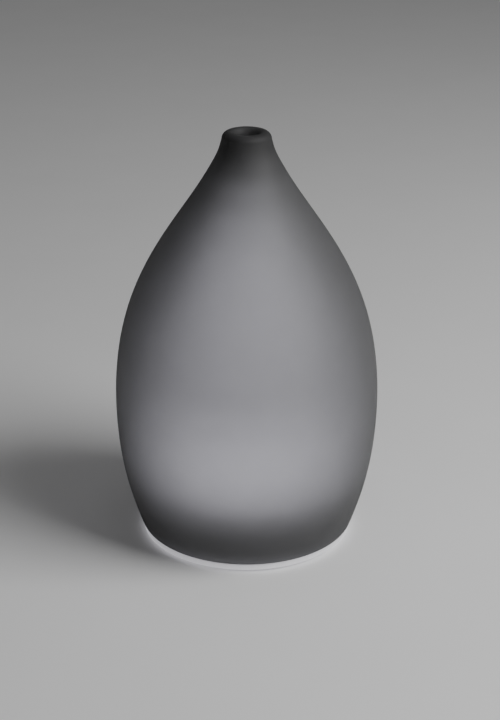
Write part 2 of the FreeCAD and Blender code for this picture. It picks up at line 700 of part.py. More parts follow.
def push_button():
    """A capped button with the flange that keeps it behind the panel, made along +Y."""
    skin = RING_RADIUS - PANEL_SKIN
    face = RING_RADIUS + BUTTON_PROUD
    cap = along_y(BUTTON_RADIUS, skin - 1.4, face, 0, CONTROL_Z)
    rim = [e for e in cap.Edges if abs(e.BoundBox.YMin - face) < 1e-6]
    cap = cap.makeFillet(0.5, rim[:1])
    flange = along_y(3.9, skin - 1.4, skin - 0.45, 0, CONTROL_Z)
    stem = along_y(1.5, PLUNGER_TIP, skin - 1.4, 0, CONTROL_Z)
    return joined(cap, flange, stem)


def microcontroller():
    pins = [centred_block(8.0 + i * 1.27 - 4.445, 13.0, 0.5, 6.2, BOARD_TOP, BOARD_TOP + 0.4)
            for i in range(8)]
    return joined(centred_block(8.0, 13.0, 10.0, 4.0, BOARD_TOP, BOARD_TOP + 1.7), *pins)


def drive_transistor():
    case = centred_block(-5.0, 9.6, 8.0, 2.6, BOARD_TOP + 2.0, BOARD_TOP + 9.0)
    legs = [centred_block(-5.0 + i * 2.3, 9.6, 0.7, 0.5, BOARD_TOP, BOARD_TOP + 2.2) for i in (-1, 0, 1)]
    return joined(case, *legs)


def heat_sink():
    plate = block(-12.0, 2.0, 10.9, 12.5, BOARD_TOP, BOARD_TOP + 9.4)
    fins = [block(x, x + 1.0, 12.4, 17.0, BOARD_TOP, BOARD_TOP + 9.4) for x in (-12, -8.75, -5.5, -2.25, 1)]
    return joined(plate, *fins)


def tuning_coil():
    """The drum inductor that drives the disc at its own frequency."""
    x, y, top = -19.0, 16.5, BOARD_TOP + 9.0
    low = cylinder(4.6, BOARD_TOP, BOARD_TOP + 1.4, x, y)
    return joined(low, cylinder(3.9, BOARD_TOP + 1, top - 1, x, y), cylinder(4.6, top - 1.4, top, x, y))


def capacitors():
    cans = []
    for x, y, radius, tall in ((19.5, 17.5, 3.15, 10.0), (12.6, 21.6, 2.5, 8.0), (-11.5, 23.0, 2.5, 8.0)):
        can = cylinder(radius, BOARD_TOP, BOARD_TOP + tall, x, y)
        rims = [e for e in can.Edges if abs(e.BoundBox.ZMin - BOARD_TOP - tall) < 1e-6]
        cans.append(can.makeFillet(0.5, rims[:1]))
    return cans


def wire_connectors():
    places = (FAN_PLUG, LED_PLUG, DISC_PLUG)
    return [centred_block(x, y, 6.0, PLUG_DEEP, BOARD_TOP, PLUG_TOP) for x, y in places]


# ---- Internal leads -----------------------------------------------------------------------------

def lead_pair(points, radius):
    """Two insulated wires side by side, each with the same turns."""
    half = radius + 0.1
    return [lead([(x + s * half, y, z) for x, y, z in points], radius) for s in (-1, 1)]


def fan_leads():
    x, y = FAN_PLUG
    front, end, side = y - PLUG_DEEP / 2, FAN_Y + FAN_HALF, x + 2.4
    high, low = BOARD_TOP + 2.4, BOARD_TOP + 1.8
    route = [(x, front, high), (x, front - 2.4, high), (side, end + 2.2, low), (side, end, low)]
    return lead_pair(route, 0.5)


def led_leads():
    x, y = LED_PLUG
    across, back, end = x + 3.2, y + 1.5, LED_BOARD_LOW
    route = [(x, y, PLUG_TOP), (x, y, PLUG_TOP + 3), (across, back, end - 3), (across, back, end)]
    return lead_pair(route, 0.45)


def atomiser_leads():
    x, y = DISC_PLUG
    end = DISC_SPOT_LOW
    route = [(x, y, PLUG_TOP), (x, y, PLUG_TOP + 3.4), (SPOT_X, SPOT_Y, end - 3.4), (SPOT_X, SPOT_Y, end)]
    return lead_pair(route, 0.45)


# ---- Write every sub-part -----------------------------------------------------------------------

os.makedirs("parts", exist_ok=True)
save("glass_shade", glass_shade())
save("mist_dome", mist_dome())
save("light_ring", light_ring())
save("bottom_cover", bottom_cover())
save("base_housing", base_housing())
save("control_panel", control_panel())
save("rubber_feet", *rubber_feet())
save("cover_screws", *cover_screws())
save("water_tank", water_tank())
save("tank_gasket", tank_gasket())
save("tank_screws", *tank_screws())
save("atomiser_seal", atomiser_seal())
save("atomiser_disc", atomiser_disc())
save("atomiser_clamp", atomiser_clamp())
save("atomiser_clamp_screws", *atomiser_clamp_screws())
save("fan_frame", fan_frame())
save("fan_bearing", fan_bearing())
save("stator_coils", stator_coils())
save("fan_impeller", fan_impeller())
save("rotor_magnet", rotor_magnet())
save("fan_shaft", fan_shaft())
save("air_duct", air_duct())
save("fan_screws", *fan_screws())
save("led_board", led_board())
save("leds", *leds())
save("led_board_screws", *led_board_screws())
save("control_board", control_board())
save("board_screws", *board_screws())
save("dc_jack", dc_jack())
save("jack_pin", jack_pin())
for name, side in (("mist", 1), ("light", -1)):
    save(name + "_switch", radially(switch_body(), side * BUTTON_ANGLE))
    save(name + "_plunger", radially(switch_plunger(), side * BUTTON_ANGLE))
    save(name + "_button", radially(push_button(), side * BUTTON_ANGLE))
save("microcontroller", microcontroller())
save("drive_transistor", drive_transistor())
save("heat_sink", heat_sink())
save("tuning_coil", tuning_coil())
save("capacitors", *capacitors())
save("wire_connectors", *wire_connectors())
save("fan_leads", *fan_leads())
save("led_leads", *led_leads())
save("atomiser_leads", *atomiser_leads())
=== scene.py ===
"""Cool mist humidifier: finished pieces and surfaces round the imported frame.

Lengths are metres in the frame's own axes: +Z up, the front at -Y, the controls at the back, +Y.
"""

import math

import bmesh
import bpy
import numpy as np
from bpy.props import FloatProperty, FloatVectorProperty, IntProperty, PointerProperty
from bpy.types import Operator, Panel, PropertyGroup
from mathutils import Matrix, Vector


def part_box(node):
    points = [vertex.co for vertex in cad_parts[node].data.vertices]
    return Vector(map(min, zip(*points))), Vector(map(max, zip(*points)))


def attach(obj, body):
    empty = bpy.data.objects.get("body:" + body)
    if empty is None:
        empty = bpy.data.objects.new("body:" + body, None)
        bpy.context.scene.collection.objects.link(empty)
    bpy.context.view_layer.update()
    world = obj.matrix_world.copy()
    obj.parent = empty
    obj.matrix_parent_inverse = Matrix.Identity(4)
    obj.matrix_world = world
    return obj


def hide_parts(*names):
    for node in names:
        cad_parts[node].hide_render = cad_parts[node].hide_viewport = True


bl_info = {
    "name": "Cool Mist Humidifier",
    "version": (1, 0, 0),
    "blender": (4, 5, 0),
    "location": "View3D > Sidebar > Humidifier",
    "description": "Models and finishes a humidifier with a lift-off glass shade over a lit base",
    "category": "Add Mesh",
}

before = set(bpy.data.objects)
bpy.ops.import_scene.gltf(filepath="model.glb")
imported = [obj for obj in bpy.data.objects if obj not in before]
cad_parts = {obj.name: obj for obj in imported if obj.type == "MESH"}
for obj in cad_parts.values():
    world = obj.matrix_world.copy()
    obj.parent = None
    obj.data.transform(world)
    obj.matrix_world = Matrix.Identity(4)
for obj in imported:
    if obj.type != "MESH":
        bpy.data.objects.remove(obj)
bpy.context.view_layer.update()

MM = 0.001
FULL_TURN = 2 * math.pi
UP = Vector((0, 0, 1))

SHADE_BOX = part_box("glass_shade")
RING_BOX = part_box("light_ring")
DOME_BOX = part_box("mist_dome")
TANK_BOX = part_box("water_tank")
HOUSING_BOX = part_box("base_housing")
PANEL_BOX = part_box("control_panel")
FEET_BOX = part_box("rubber_feet")
JACK_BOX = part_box("dc_jack")
PIN_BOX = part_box("jack_pin")
FRAME_TOP = SHADE_BOX[1].z
CONTROL_Z = (PIN_BOX[0].z + PIN_BOX[1].z) / 2
RING_RADIUS = RING_BOX[1].x
DOME_RADIUS = DOME_BOX[1].x
TANK_TOP = TANK_BOX[1].z

FOOT_RADIUS = 4.5 * MM
PANEL_SKIN = 1.8 * MM
BUTTON_PROUD = 0.8 * MM
BUTTON_PLAY = 0.3 * MM
MARK_HEIGHT = 0.12 * MM

# Radius and height, in millimetres, of the points that each outer curve passes through, foot to neck.
SHADE_CURVE = (
    (43.9, 3.8), (49.4, 22.0), (53.0, 45.0), (53.1, 70.0), (48.6, 95.0),
    (40.4, 115.0), (30.1, 132.0), (19.9, 147.0), (13.3, 158.0), (11.1, 162.6), (9.8, 167.0),
)
DOME_CURVE = (
    (40.2, 67.5), (37.9, 77.5), (33.4, 88.0), (27.6, 100.0), (21.8, 112.0),
    (16.6, 124.0), (12.4, 136.0), (9.0, 148.0), (6.2, 159.2),
)

# Height, in millimetres, and strength of the painted glow that the opal parts give out there, standing in
# for the light of the lamps inside.
PAINTED_GLOW_STOPS = (
    (3, 0.00), (12, 0.02), (20, 0.24), (26, 0.60), (32, 0.94), (42, 1.07), (52, 0.97), (62, 0.67),
    (75, 0.54), (105, 0.57), (120, 0.54), (132, 0.40), (145, 0.22), (158, 0.02),
)

# Height, in millimetres, and how pale the smoked glass is painted there: painted shade darkens it at its
# foot and neck.
PAINTED_SHADE_STOPS = (
    (4, 0.60), (14, 0.78), (32, 1.00), (138, 1.00), (150, 0.90), (158, 0.66), (166, 0.38),
)


# ---- Sizes and colours that a user would change -------------------------------------------------

class ShadeSettings(PropertyGroup):
    wall: FloatProperty(name="Wall", description="Thickness of the glass", default=2.4 * MM,
                        min=0.001, subtype="DISTANCE")
    outlet: FloatProperty(name="Outlet radius", description="Inner radius of the mist outlet",
                          default=4.7 * MM, subtype="DISTANCE")
    notch_margin: FloatProperty(name="Notch margin", default=1.4 * MM, subtype="DISTANCE",
                                description="Gap between the control panel and the notch round it")
    notch_corner: FloatProperty(name="Notch corner", default=6.0 * MM, subtype="DISTANCE",
                                description="Radius of the notch's two upper corners")
    rim: FloatProperty(name="Rim rounding", default=0.7 * MM, subtype="DISTANCE",
                       description="Radius of the fire-polished edge round the notch")
    steps: IntProperty(name="Steps", description="Faces round the shade", default=192, min=48)
    smoke: FloatProperty(name="Smoke", default=0.40, min=0.0, max=1.0, subtype="FACTOR",
                         description="Share of the light that one wall of glass lets through")
    frost: FloatProperty(name="Frost", default=0.68, min=0.0, max=1.0, subtype="FACTOR",
                         description="How far the satin surface spreads the light")


class GlowSettings(PropertyGroup):
    core: FloatProperty(name="Core", description="Brightness of the dome and tank", default=1.65, min=0.0)
    ring: FloatProperty(name="Ring", description="Brightness of the light ring", default=0.34, min=0.0)
    colour: FloatVectorProperty(name="Colour", description="Colour of the light", subtype="COLOR",
                                default=(1.0, 0.985, 1.06), size=3, min=0.0, max=2.0)


class ControlSettings(PropertyGroup):
    edge: FloatProperty(name="Panel edge", description="Rounding of the panel's front edge",
                        default=0.4 * MM, subtype="DISTANCE")
    corner: FloatProperty(name="Panel corner", description="Radius of the panel's two upper corners",
                          default=4.6 * MM, subtype="DISTANCE")
    button: FloatProperty(name="Button radius", description="Radius of each button's cap",
                          default=3.1 * MM, subtype="DISTANCE")
    spread: FloatProperty(name="Button angle", default=math.radians(16.1), subtype="ANGLE",
                          description="How far round the panel each button is from the inlet")
    inlet: FloatProperty(name="Inlet radius", description="Outer radius of the power inlet's nose",
                         default=3.8 * MM, subtype="DISTANCE")


class StageSettings(PropertyGroup):
    distance: FloatProperty(name="Distance", description="How far the camera stands in front",
                            default=0.6206, subtype="DISTANCE")
    height: FloatProperty(name="Height", description="How high the camera stands", default=0.3403,
                          subtype="DISTANCE")
    tilt: FloatProperty(name="Tilt", description="How far the camera looks down",
                        default=math.radians(22.36), subtype="ANGLE")
    lens: FloatProperty(name="Lens", description="Focal length in millimetres", default=82.88)
    shift_x: FloatProperty(name="Shift across", description="Sideways shift of the lens", default=0.0046)
    shift_y: FloatProperty(name="Shift up", description="Upward shift of the lens", default=-0.0346)
    lamp: FloatProperty(name="Soft box", description="Power of the soft box in watts", default=8.0)
    room: FloatProperty(name="Room light", description="Strength of the even light", default=0.135)
    floor: FloatProperty(name="Floor", description="How pale the floor is", default=0.87,
                         subtype="FACTOR")


# ---- Outlines -----------------------------------------------------------------------------------

def in_metres(points):
    return [Vector(p) * MM for p in points]


def smooth_curve(points, per_span=7):
    """Points along the natural cubic through (radius, height) points, spaced by their chords."""
    at = np.array([tuple(p) for p in points], float)
    chord = np.linalg.norm(np.diff(at, axis=0), axis=1)
    slope = np.diff(at, axis=0) / chord[:, None]
    matrix, right = np.eye(len(at)), np.zeros_like(at)
    for i in range(1, len(at) - 1):
        matrix[i, i - 1:i + 2] = chord[i - 1], 2 * (chord[i - 1] + chord[i]), chord[i]
        right[i] = 6 * (slope[i] - slope[i - 1])
    bend = np.linalg.solve(matrix, right)
    curve = []
    for i, run in enumerate(chord):
        for done in np.linspace(0, run, per_span, endpoint=False):
            left = run - done
            value = (bend[i] * left ** 3 + bend[i + 1] * done ** 3) / (6 * run)
            value += (at[i] / run - bend[i] * run / 6) * left
            value += (at[i + 1] / run - bend[i + 1] * run / 6) * done
            curve.append(Vector(value))
    return curve + [Vector(at[-1])]


def set_in(curve, wall):
    """The curve moved towards the axis, along its own normals."""
    moved = []
    for before, here, after in zip(curve[:1] + curve[:-1], curve, curve[1:] + curve[-1:]):
        along = (after - before).normalized()
        moved.append(here + Vector((-along.y, along.x)) * wall)
    return moved


def arc(centre, radius, first, last, count):
    """Points on an arc between two angles in degrees, both ends included."""
    angles = [math.radians(first + (last - first) * k / count) for k in range(count + 1)]
    return [centre + Vector((math.cos(a), math.sin(a))) * radius for a in angles]


def rounded(corners, count=4):
    """A closed outline: each (across, up, rounding) corner becomes an arc."""
    points = []
    for i, (across, up, rounding) in enumerate(corners):
        here = Vector((across, up))
        back = Vector(corners[i - 1][:2]) - here
        ahead = Vector(corners[(i + 1) % len(corners)][:2]) - here
        if rounding <= 0:
            points.append(here)
            continue
        half = back.angle(ahead) / 2
        run = min(rounding / math.tan(half), 0.49 * back.length, 0.49 * ahead.length)
        middle = here + (back.normalized() + ahead.normalized()).normalized() * (run / math.cos(half))
        radius = run * math.tan(half)
        start = (here + back.normalized() * run - middle).normalized().to_3d()
        end = (here + ahead.normalized() * run - middle).normalized().to_3d()
        points += [middle + start.slerp(end, k / count).to_2d() * radius for k in range(count + 1)]
    return points


# ---- Mesh making --------------------------------------------------------------------------------

def in_order(bm):
    """Lists corners, edges and faces by place, so that later steps meet them alike in every run."""
    for parts, key in ((bm.verts, lambda v: tuple(v.co)),
                       (bm.edges, lambda e: sorted(v.index for v in e.verts)),
                       (bm.faces, lambda f: sorted(v.index for v in f.verts))):
        places = {part: place for place, part in enumerate(sorted(parts, key=key))}
        parts.sort(key=places.get)
        parts.index_update()
    return bm


def tidy(bm):
    bmesh.ops.remove_doubles(bm, verts=bm.verts, dist=1e-7)
    bmesh.ops.recalc_face_normals(bm, faces=bm.faces)
    return in_order(bm)


def lathe(outline, steps=128, closed=True):
    """An outline of (radius, height) points spun once round the upright axis."""
    bm = bmesh.new()
    points = [bm.verts.new((p[0], 0, p[1])) for p in outline]
    ends = zip(points, points[1:] + points[:1] if closed else points[1:])
    edges = [bm.edges.new(pair) for pair in ends]
    bmesh.ops.spin(bm, geom=points + edges, cent=(0, 0, 0), axis=UP, angle=FULL_TURN, steps=steps,
                   use_merge=True)
    return tidy(bm)


def sector(outline, first, last, steps=128):
    """A closed solid: an outline spun part of the way round, between two angles in degrees."""
    bm = bmesh.new()
    bm.faces.new([bm.verts.new((p[0], 0, p[1])) for p in outline])
    turn = Matrix.Rotation(math.radians(first), 3, "Z")
    bmesh.ops.rotate(bm, verts=bm.verts, cent=(0, 0, 0), matrix=turn)
    bmesh.ops.spin(bm, geom=bm.verts[:] + bm.edges[:] + bm.faces[:], cent=(0, 0, 0), axis=UP,
                   angle=math.radians(last - first), steps=steps)
    return tidy(bm)


def slab(outline, low, high, edge=0.0, segments=3):
    """A flat plate between two heights from an outline of (x, y) points, its top edge rounded."""
    bm = bmesh.new()
    face = bm.faces.new([bm.verts.new((p[0], p[1], low)) for p in outline])
    grown = bmesh.ops.extrude_face_region(bm, geom=[face])
    top = [v for v in grown["geom"] if isinstance(v, bmesh.types.BMVert)]
    bmesh.ops.translate(bm, verts=top, vec=(0, 0, high - low))
    if edge > 0:
        rims = [e for e in bm.edges if all(abs(v.co.z - high) < 1e-9 for v in e.verts)]
        bmesh.ops.bevel(bm, geom=rims, offset=edge, offset_type="OFFSET", segments=segments,
                        profile=0.5, affect="EDGES", clamp_overlap=True, material=-1)
    return tidy(bm)


def merge_into(bm, *others):
    """Adds each other bmesh to the first, as shells of one piece."""
    for other in others:
        mesh = bpy.data.meshes.new("part")
        other.to_mesh(mesh)
        other.free()
        bm.from_mesh(mesh)
        bpy.data.meshes.remove(mesh)
    return bm


def moved(bm, matrix):
    bmesh.ops.transform(bm, matrix=matrix, verts=bm.verts)
    return bm


def copies(make, places):
    """One bmesh with a copy of what make() gives at each matrix."""
    first, *rest = places
    return merge_into(moved(make(), first), *(moved(make(), place) for place in rest))


def upright_to_back():
    """Turns a shape whose axis is +Z so that its axis is +Y."""
    return Matrix.Rotation(-math.pi / 2, 4, "X")


def piece(bm, name, body, replaces, material, crease=35):
    """A finished object: it rides on a body, stands for CAD nodes and has one material."""
    mesh = bpy.data.meshes.new(name)
    in_order(bm).to_mesh(mesh)
    bm.free()
    mesh.shade_smooth()
    mesh.set_sharp_from_angle(angle=math.radians(crease))
    mesh.materials.append(material)
    made = bpy.data.objects.new(name, mesh)
    bpy.context.scene.collection.objects.link(made)
    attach(made, body)
    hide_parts(*replaces)
    return made


def finish(material, *nodes):
    """Gives carried-over CAD nodes their material."""
    for name in nodes:
        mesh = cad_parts[name].data
        mesh.materials.clear()
        mesh.materials.append(material)


# ---- Material helpers ---------------------------------------------------------------------------

def new_material(name, colour, roughness, metallic=0.0, **sockets):
    material = bpy.data.materials.new(name)
    material.use_nodes = True
    surface = material.node_tree.nodes["Principled BSDF"]
    surface.inputs["Base Color"].default_value = (*colour, 1)
    surface.inputs["Roughness"].default_value = roughness
    surface.inputs["Metallic"].default_value = metallic
    for socket, value in sockets.items():
        surface.inputs[socket.replace("_", " ")].default_value = value
    return material


def add(material, kind, links=None, **settings):
    """A new node: settings are its own options, links its inputs by name (values or sockets)."""
    tree = material.node_tree
    made = tree.nodes.new(kind)
    for option, value in settings.items():
        setattr(made, option, value)
    for socket, value in (links or {}).items():
        if isinstance(value, bpy.types.NodeSocket):
            tree.links.new(value, made.inputs[socket])
        else:
            made.inputs[socket].default_value = value
    return made


def to_surface(material, socket, output):
    surface = material.node_tree.nodes["Principled BSDF"]
    material.node_tree.links.new(output, surface.inputs[socket])


def place_on(material, stretch=(1, 1, 1)):
    """Object coordinates, stretched along each axis."""
    coordinates = add(material, "ShaderNodeTexCoord")
    mapping = add(material, "ShaderNodeMapping",
                  {"Vector": coordinates.outputs["Object"], "Scale": stretch})
    return mapping.outputs["Vector"]


def speckle(material, size, detail=3.0, stretch=(1, 1, 1)):
    """Soft noise whose grains are about one size across, in metres."""
    noise = add(material, "ShaderNodeTexNoise",
                {"Vector": place_on(material, stretch), "Scale": 1 / size, "Detail": detail})
    return noise.outputs["Fac"]


def ramp(material, factor, stops, interpolation="LINEAR"):
    """A colour ramp from (position, colour) stops in rising order."""
    made = add(material, "ShaderNodeValToRGB", {"Fac": factor})
    made.color_ramp.interpolation = interpolation
    elements = made.color_ramp.elements
    while len(elements) < len(stops):
        elements.new(0.5)
    for element, (position, colour) in zip(elements, stops):
        element.position = position
    for element, (position, colour) in zip(elements, stops):
        element.color = (*colour, 1)
    return made.outputs["Color"]


def shade_of(colour, factor):
    return tuple(c * factor for c in colour)


# Most values of a soft noise lie between these two.
NOISE_LOW, NOISE_HIGH = 0.3, 0.7


def drift(material, colour, factor, spread):
    """The colour, a little darker and lighter with the factor."""
    return ramp(material, factor, ((NOISE_LOW, shade_of(colour, 1 - spread)),
                                   (NOISE_HIGH, shade_of(colour, 1 + spread))))


def mottle(material, colour, factor, spread):
    """Gives the base colour a drift."""
    to_surface(material, "Base Color", drift(material, colour, factor, spread))


def vary_roughness(material, factor, low, high):
    made = add(material, "ShaderNodeMapRange",
               {"Value": factor, "From Min": NOISE_LOW, "From Max": NOISE_HIGH,
                "To Min": low, "To Max": high})
    to_surface(material, "Roughness", made.outputs["Result"])


def grain(material, factor, depth, strength=0.4):
    made = add(material, "ShaderNodeBump", {"Height": factor, "Strength": strength, "Distance": depth})
    to_surface(material, "Normal", made.outputs["Normal"])


def by_height(material, low, high):
    """0 to 1 from one height to another."""
    coordinates = add(material, "ShaderNodeTexCoord")
    parts = add(material, "ShaderNodeSeparateXYZ", {"Vector": coordinates.outputs["Object"]})
    made = add(material, "ShaderNodeMapRange",
               {"Value": parts.outputs["Z"], "From Min": low, "From Max": high})
    return made.outputs["Result"]


def by_radius(material, low, high, least=0.0):
    """From least to 1 as the distance from the upright axis grows from one radius to another."""
    coordinates = add(material, "ShaderNodeTexCoord")
    level = add(material, "ShaderNodeVectorMath",
                {0: coordinates.outputs["Object"], 1: (1, 1, 0)}, operation="MULTIPLY")
    length = add(material, "ShaderNodeVectorMath", {0: level.outputs["Vector"]}, operation="LENGTH")
    made = add(material, "ShaderNodeMapRange",
               {"Value": length.outputs["Value"], "From Min": low, "From Max": high, "To Min": least})
    return made.outputs["Result"]


# ---- Finishes -----------------------------------------------------------------------------------

def satin_glass(settings):
    """Glass smoked right through its wall, with an acid-etched satin surface."""
    colour = (0.80, 0.80, 0.82)
    material = new_material("satin smoked glass", colour, settings.frost, IOR=1.45,
                            Transmission_Weight=0.92)
    uneven = 0.02
    mottled = drift(material, colour, speckle(material, 9 * MM, 2.0), uneven)
    # Painted shade: the base colour is darkened towards the foot and the neck by these stops.
    stops = [(height * MM / FRAME_TOP, (share, share, share)) for height, share in PAINTED_SHADE_STOPS]
    ends = ramp(material, by_height(material, 0, FRAME_TOP), stops, "EASE")
    darker = add(material, "ShaderNodeVectorMath", {0: mottled, 1: ends}, operation="MULTIPLY")
    to_surface(material, "Base Color", darker.outputs["Vector"])
    vary_roughness(material, speckle(material, 3 * MM, 2.0), settings.frost - uneven,
                   settings.frost + uneven)
    grain(material, speckle(material, 0.25 * MM, 4.0), 0.02 * MM, 0.25)
    grey = 0.5
    density = -math.log(settings.smoke) / (settings.wall * (1 - grey))
    smoke = add(material, "ShaderNodeVolumeAbsorption",
                {"Color": (grey, grey, grey, 1), "Density": density})
    output = material.node_tree.nodes["Material Output"]
    material.node_tree.links.new(smoke.outputs["Volume"], output.inputs["Volume"])
    return material


def lit_opal(name, glow, strength, roughness=0.5, outside=None):
    """Milky plastic with a painted glow by height in place of the lamps shining through it, and painted
    shade that makes it dimmer nearer the axis than the outside radius.
    """
    colour = (0.8, 0.8, 0.8)
    material = new_material(name, colour, roughness)
    mottle(material, colour, speckle(material, 6 * MM, 3.0), 0.015)
    grain(material, speckle(material, 0.5 * MM, 3.0), 0.02 * MM, 0.3)
    tint = tuple(glow.colour)
    stops = [(height * MM / FRAME_TOP, shade_of(tint, value)) for height, value in PAINTED_GLOW_STOPS]
    light = ramp(material, by_height(material, 0, FRAME_TOP), stops, "EASE")
    if outside:
        # Painted shade: faces more than 1.2 mm inside the outside radius give out only the least share of
        # the painted glow.
        within, least = outside - 1.2 * MM, 0.22
        share = by_radius(material, within, outside, least)
        inner_painted_shade = add(material, "ShaderNodeVectorMath", {0: light, "Scale": share}, operation="SCALE")
        light = inner_painted_shade.outputs["Vector"]
    to_surface(material, "Emission Color", light)
    material.node_tree.nodes["Principled BSDF"].inputs["Emission Strength"].default_value = strength
    return material


def lit_ring_opal(glow):
    """The ring's milky plastic with a painted glow, brightest low down, where most of the light leaves it.
    """
    colour = (0.5, 0.5, 0.5)
    material = new_material("light ring opal painted glow", colour, 0.35)
    mottle(material, colour, speckle(material, 2 * MM, 2.0), 0.03)
    grain(material, speckle(material, 0.4 * MM, 2.0), 0.01 * MM, 0.3)
    tint = tuple(glow.colour)
    stops = [(up, shade_of(tint, share)) for up, share in ((0.0, 1.3), (0.3, 1.15), (1.0, 0.86))]
    light = ramp(material, by_height(material, RING_BOX[0].z, RING_BOX[1].z), stops)
    to_surface(material, "Emission Color", light)
    material.node_tree.nodes["Principled BSDF"].inputs["Emission Strength"].default_value = glow.ring
    return material


def moulded_plastic(name, colour, roughness=0.45, size=0.35, depth=0.03, drift=0.03):
    """Injection-moulded plastic with a spark-eroded grain, its sizes in millimetres."""
    material = new_material(name, colour, roughness)
    mottle(material, colour, speckle(material, 7 * MM, 2.0), drift)
    vary_roughness(material, speckle(material, 2.5 * MM, 3.0), roughness - 0.05, roughness + 0.07)
    grain(material, speckle(material, size * MM, 3.0), depth * MM, 0.5)
    return material


def soft_rubber(name, colour, roughness=0.75):
    """Rubber with a matt skin and faint bloom."""
    material = new_material(name, colour, roughness, Sheen_Weight=0.15)
    mottle(material, colour, speckle(material, 3 * MM, 4.0), 0.12)
    vary_roughness(material, speckle(material, 1.2 * MM, 3.0), roughness - 0.1, roughness + 0.1)
    grain(material, speckle(material, 0.3 * MM, 2.0), 0.04 * MM, 0.5)
    return material


def worked_metal(name, colour, roughness=0.32, stretch=(1, 1, 12), size=0.8):
    """Plated or ground metal with fine tool marks along one direction."""
    material = new_material(name, colour, roughness, metallic=1.0)
    marks = speckle(material, size * MM, 4.0, stretch)
    mottle(material, colour, speckle(material, 2 * MM, 3.0), 0.06)
    vary_roughness(material, marks, roughness - 0.08, roughness + 0.1)
    grain(material, marks, 0.01 * MM, 0.3)
    return material


def solder_mask(name, colour=(0.02, 0.13, 0.06)):
    """Circuit board: green lacquer over copper tracks that stand a little proud of the laminate."""
    material = new_material(name, colour, 0.3, Coat_Weight=0.4)
    first_band, band, count = 0.50, 0.07, 7
    cells = add(material, "ShaderNodeTexVoronoi", {"Vector": place_on(material), "Scale": 1 / (5 * MM)},
                distance="MANHATTAN", feature="F2")
    bands = [(first_band + band * k, ((k + 1) % 2,) * 3) for k in range(count)]
    tracks = ramp(material, cells.outputs["Distance"], [(0.0, (0, 0, 0))] + bands, "CONSTANT")
    mixed = add(material, "ShaderNodeMix", {"Factor": tracks, "A": (*colour, 1),
                                            "B": (*shade_of(colour, 2.1), 1)}, data_type="RGBA")
    to_surface(material, "Base Color", mixed.outputs["Result"])
    vary_roughness(material, speckle(material, 1 * MM, 3.0), 0.24, 0.38)
    grain(material, tracks, 0.04 * MM, 0.6)
    return material


def wound_wire(name, colour, pitch=0.35):
    """Enamelled wire wound in close turns one above the other, its pitch in millimetres, with painted shade
    between the turns and a painted highlight along each.
    """
    material = new_material(name, colour, 0.3, metallic=0.9)
    one_wave = math.pi / 10
    turns = add(material, "ShaderNodeTexWave",
                {"Vector": place_on(material), "Scale": one_wave / (pitch * MM), "Distortion": 0.4,
                 "Detail": 1.0}, wave_type="BANDS", bands_direction="Z", wave_profile="SIN")
    # Painted shade in the creases between the turns and a painted highlight on each turn's crest.
    stops = ((0.0, shade_of(colour, 0.35)), (0.6, colour), (1.0, shade_of(colour, 1.2)))
    to_surface(material, "Base Color", ramp(material, turns.outputs["Fac"], stops))
    grain(material, turns.outputs["Fac"], 0.15 * MM, 0.7)
    return material


def layered(name, low, high, stops, roughness=0.4, metallic=0.0):
    """A piece whose parts have different colours one above the other, from low to high."""
    material = new_material(name, stops[0][1], roughness, metallic)
    to_surface(material, "Base Color", ramp(material, by_height(material, low, high), stops, "CONSTANT"))
    grain(material, speckle(material, 0.4 * MM, 3.0), 0.02 * MM, 0.3)
    vary_roughness(material, speckle(material, 1.5 * MM, 2.0), roughness - 0.08, roughness + 0.08)
    return material


def plate_and_ceramic(name, low, high):
    """The disc: a bright brass face above, a grey fired ceramic layer and solder beneath."""
    material = new_material(name, (0.78, 0.62, 0.32), 0.3, metallic=0.8)
    stops = ((0.0, (0.55, 0.55, 0.53)), (0.45, (0.32, 0.30, 0.27)), (0.62, (0.78, 0.62, 0.32)))
    to_surface(material, "Base Color", ramp(material, by_height(material, low, high), stops, "CONSTANT"))
    lapping = 600.0
    rings = add(material, "ShaderNodeTexWave", {"Vector": place_on(material), "Scale": lapping},
                wave_type="RINGS", rings_direction="Z")
    grain(material, rings.outputs["Fac"], 0.01 * MM, 0.3)
    return material


# ---- Shade --------------------------------------------------------------------------------------

def shade_walls(settings):
    """The outer curve, the inner one that the wall's thickness leaves, and the throat's point."""
    flare, depth, blend = 1.6 * MM, 7.8 * MM, 3 * MM
    outer = smooth_curve(in_metres(SHADE_CURVE))
    throat = Vector((settings.outlet + flare, FRAME_TOP - depth))
    inner = [p for p in set_in(outer, settings.wall) if p.y < throat.y - blend]
    inner[0].y = outer[0].y
    return outer, inner, throat


def shade_outline(settings):
    """Closed section of the glass: rounded foot, belly, rolled lip, outlet and inner wall."""
    outer, inner, throat = shade_walls(settings)
    neck = outer[-1]
    roll = FRAME_TOP - neck.y
    crest_radius = neck.x - roll
    inner_roll = crest_radius - settings.outlet
    lip = arc(Vector((crest_radius, neck.y)), roll, 0, 90, 8)[1:]
    lip += arc(Vector((crest_radius, FRAME_TOP - inner_roll)), inner_roll, 90, 180, 6)[1:]
    straight, foot, flare = 4.4 * MM, 0.6 * MM, 0.1 * MM
    outlet_low = Vector((settings.outlet, FRAME_TOP - straight))
    waist = smooth_curve([outlet_low, throat] + inner[:-4:-1], 6)
    heel = arc(inner[0] + Vector((foot, foot)), foot, 180, 270, 4)
    toe = arc(outer[0] + Vector((-foot, foot)), foot, 270, 360, 4)
    toe[-1].x = outer[0].x + flare
    return heel + toe + outer[1:] + lip + waist + inner[-4:0:-1]


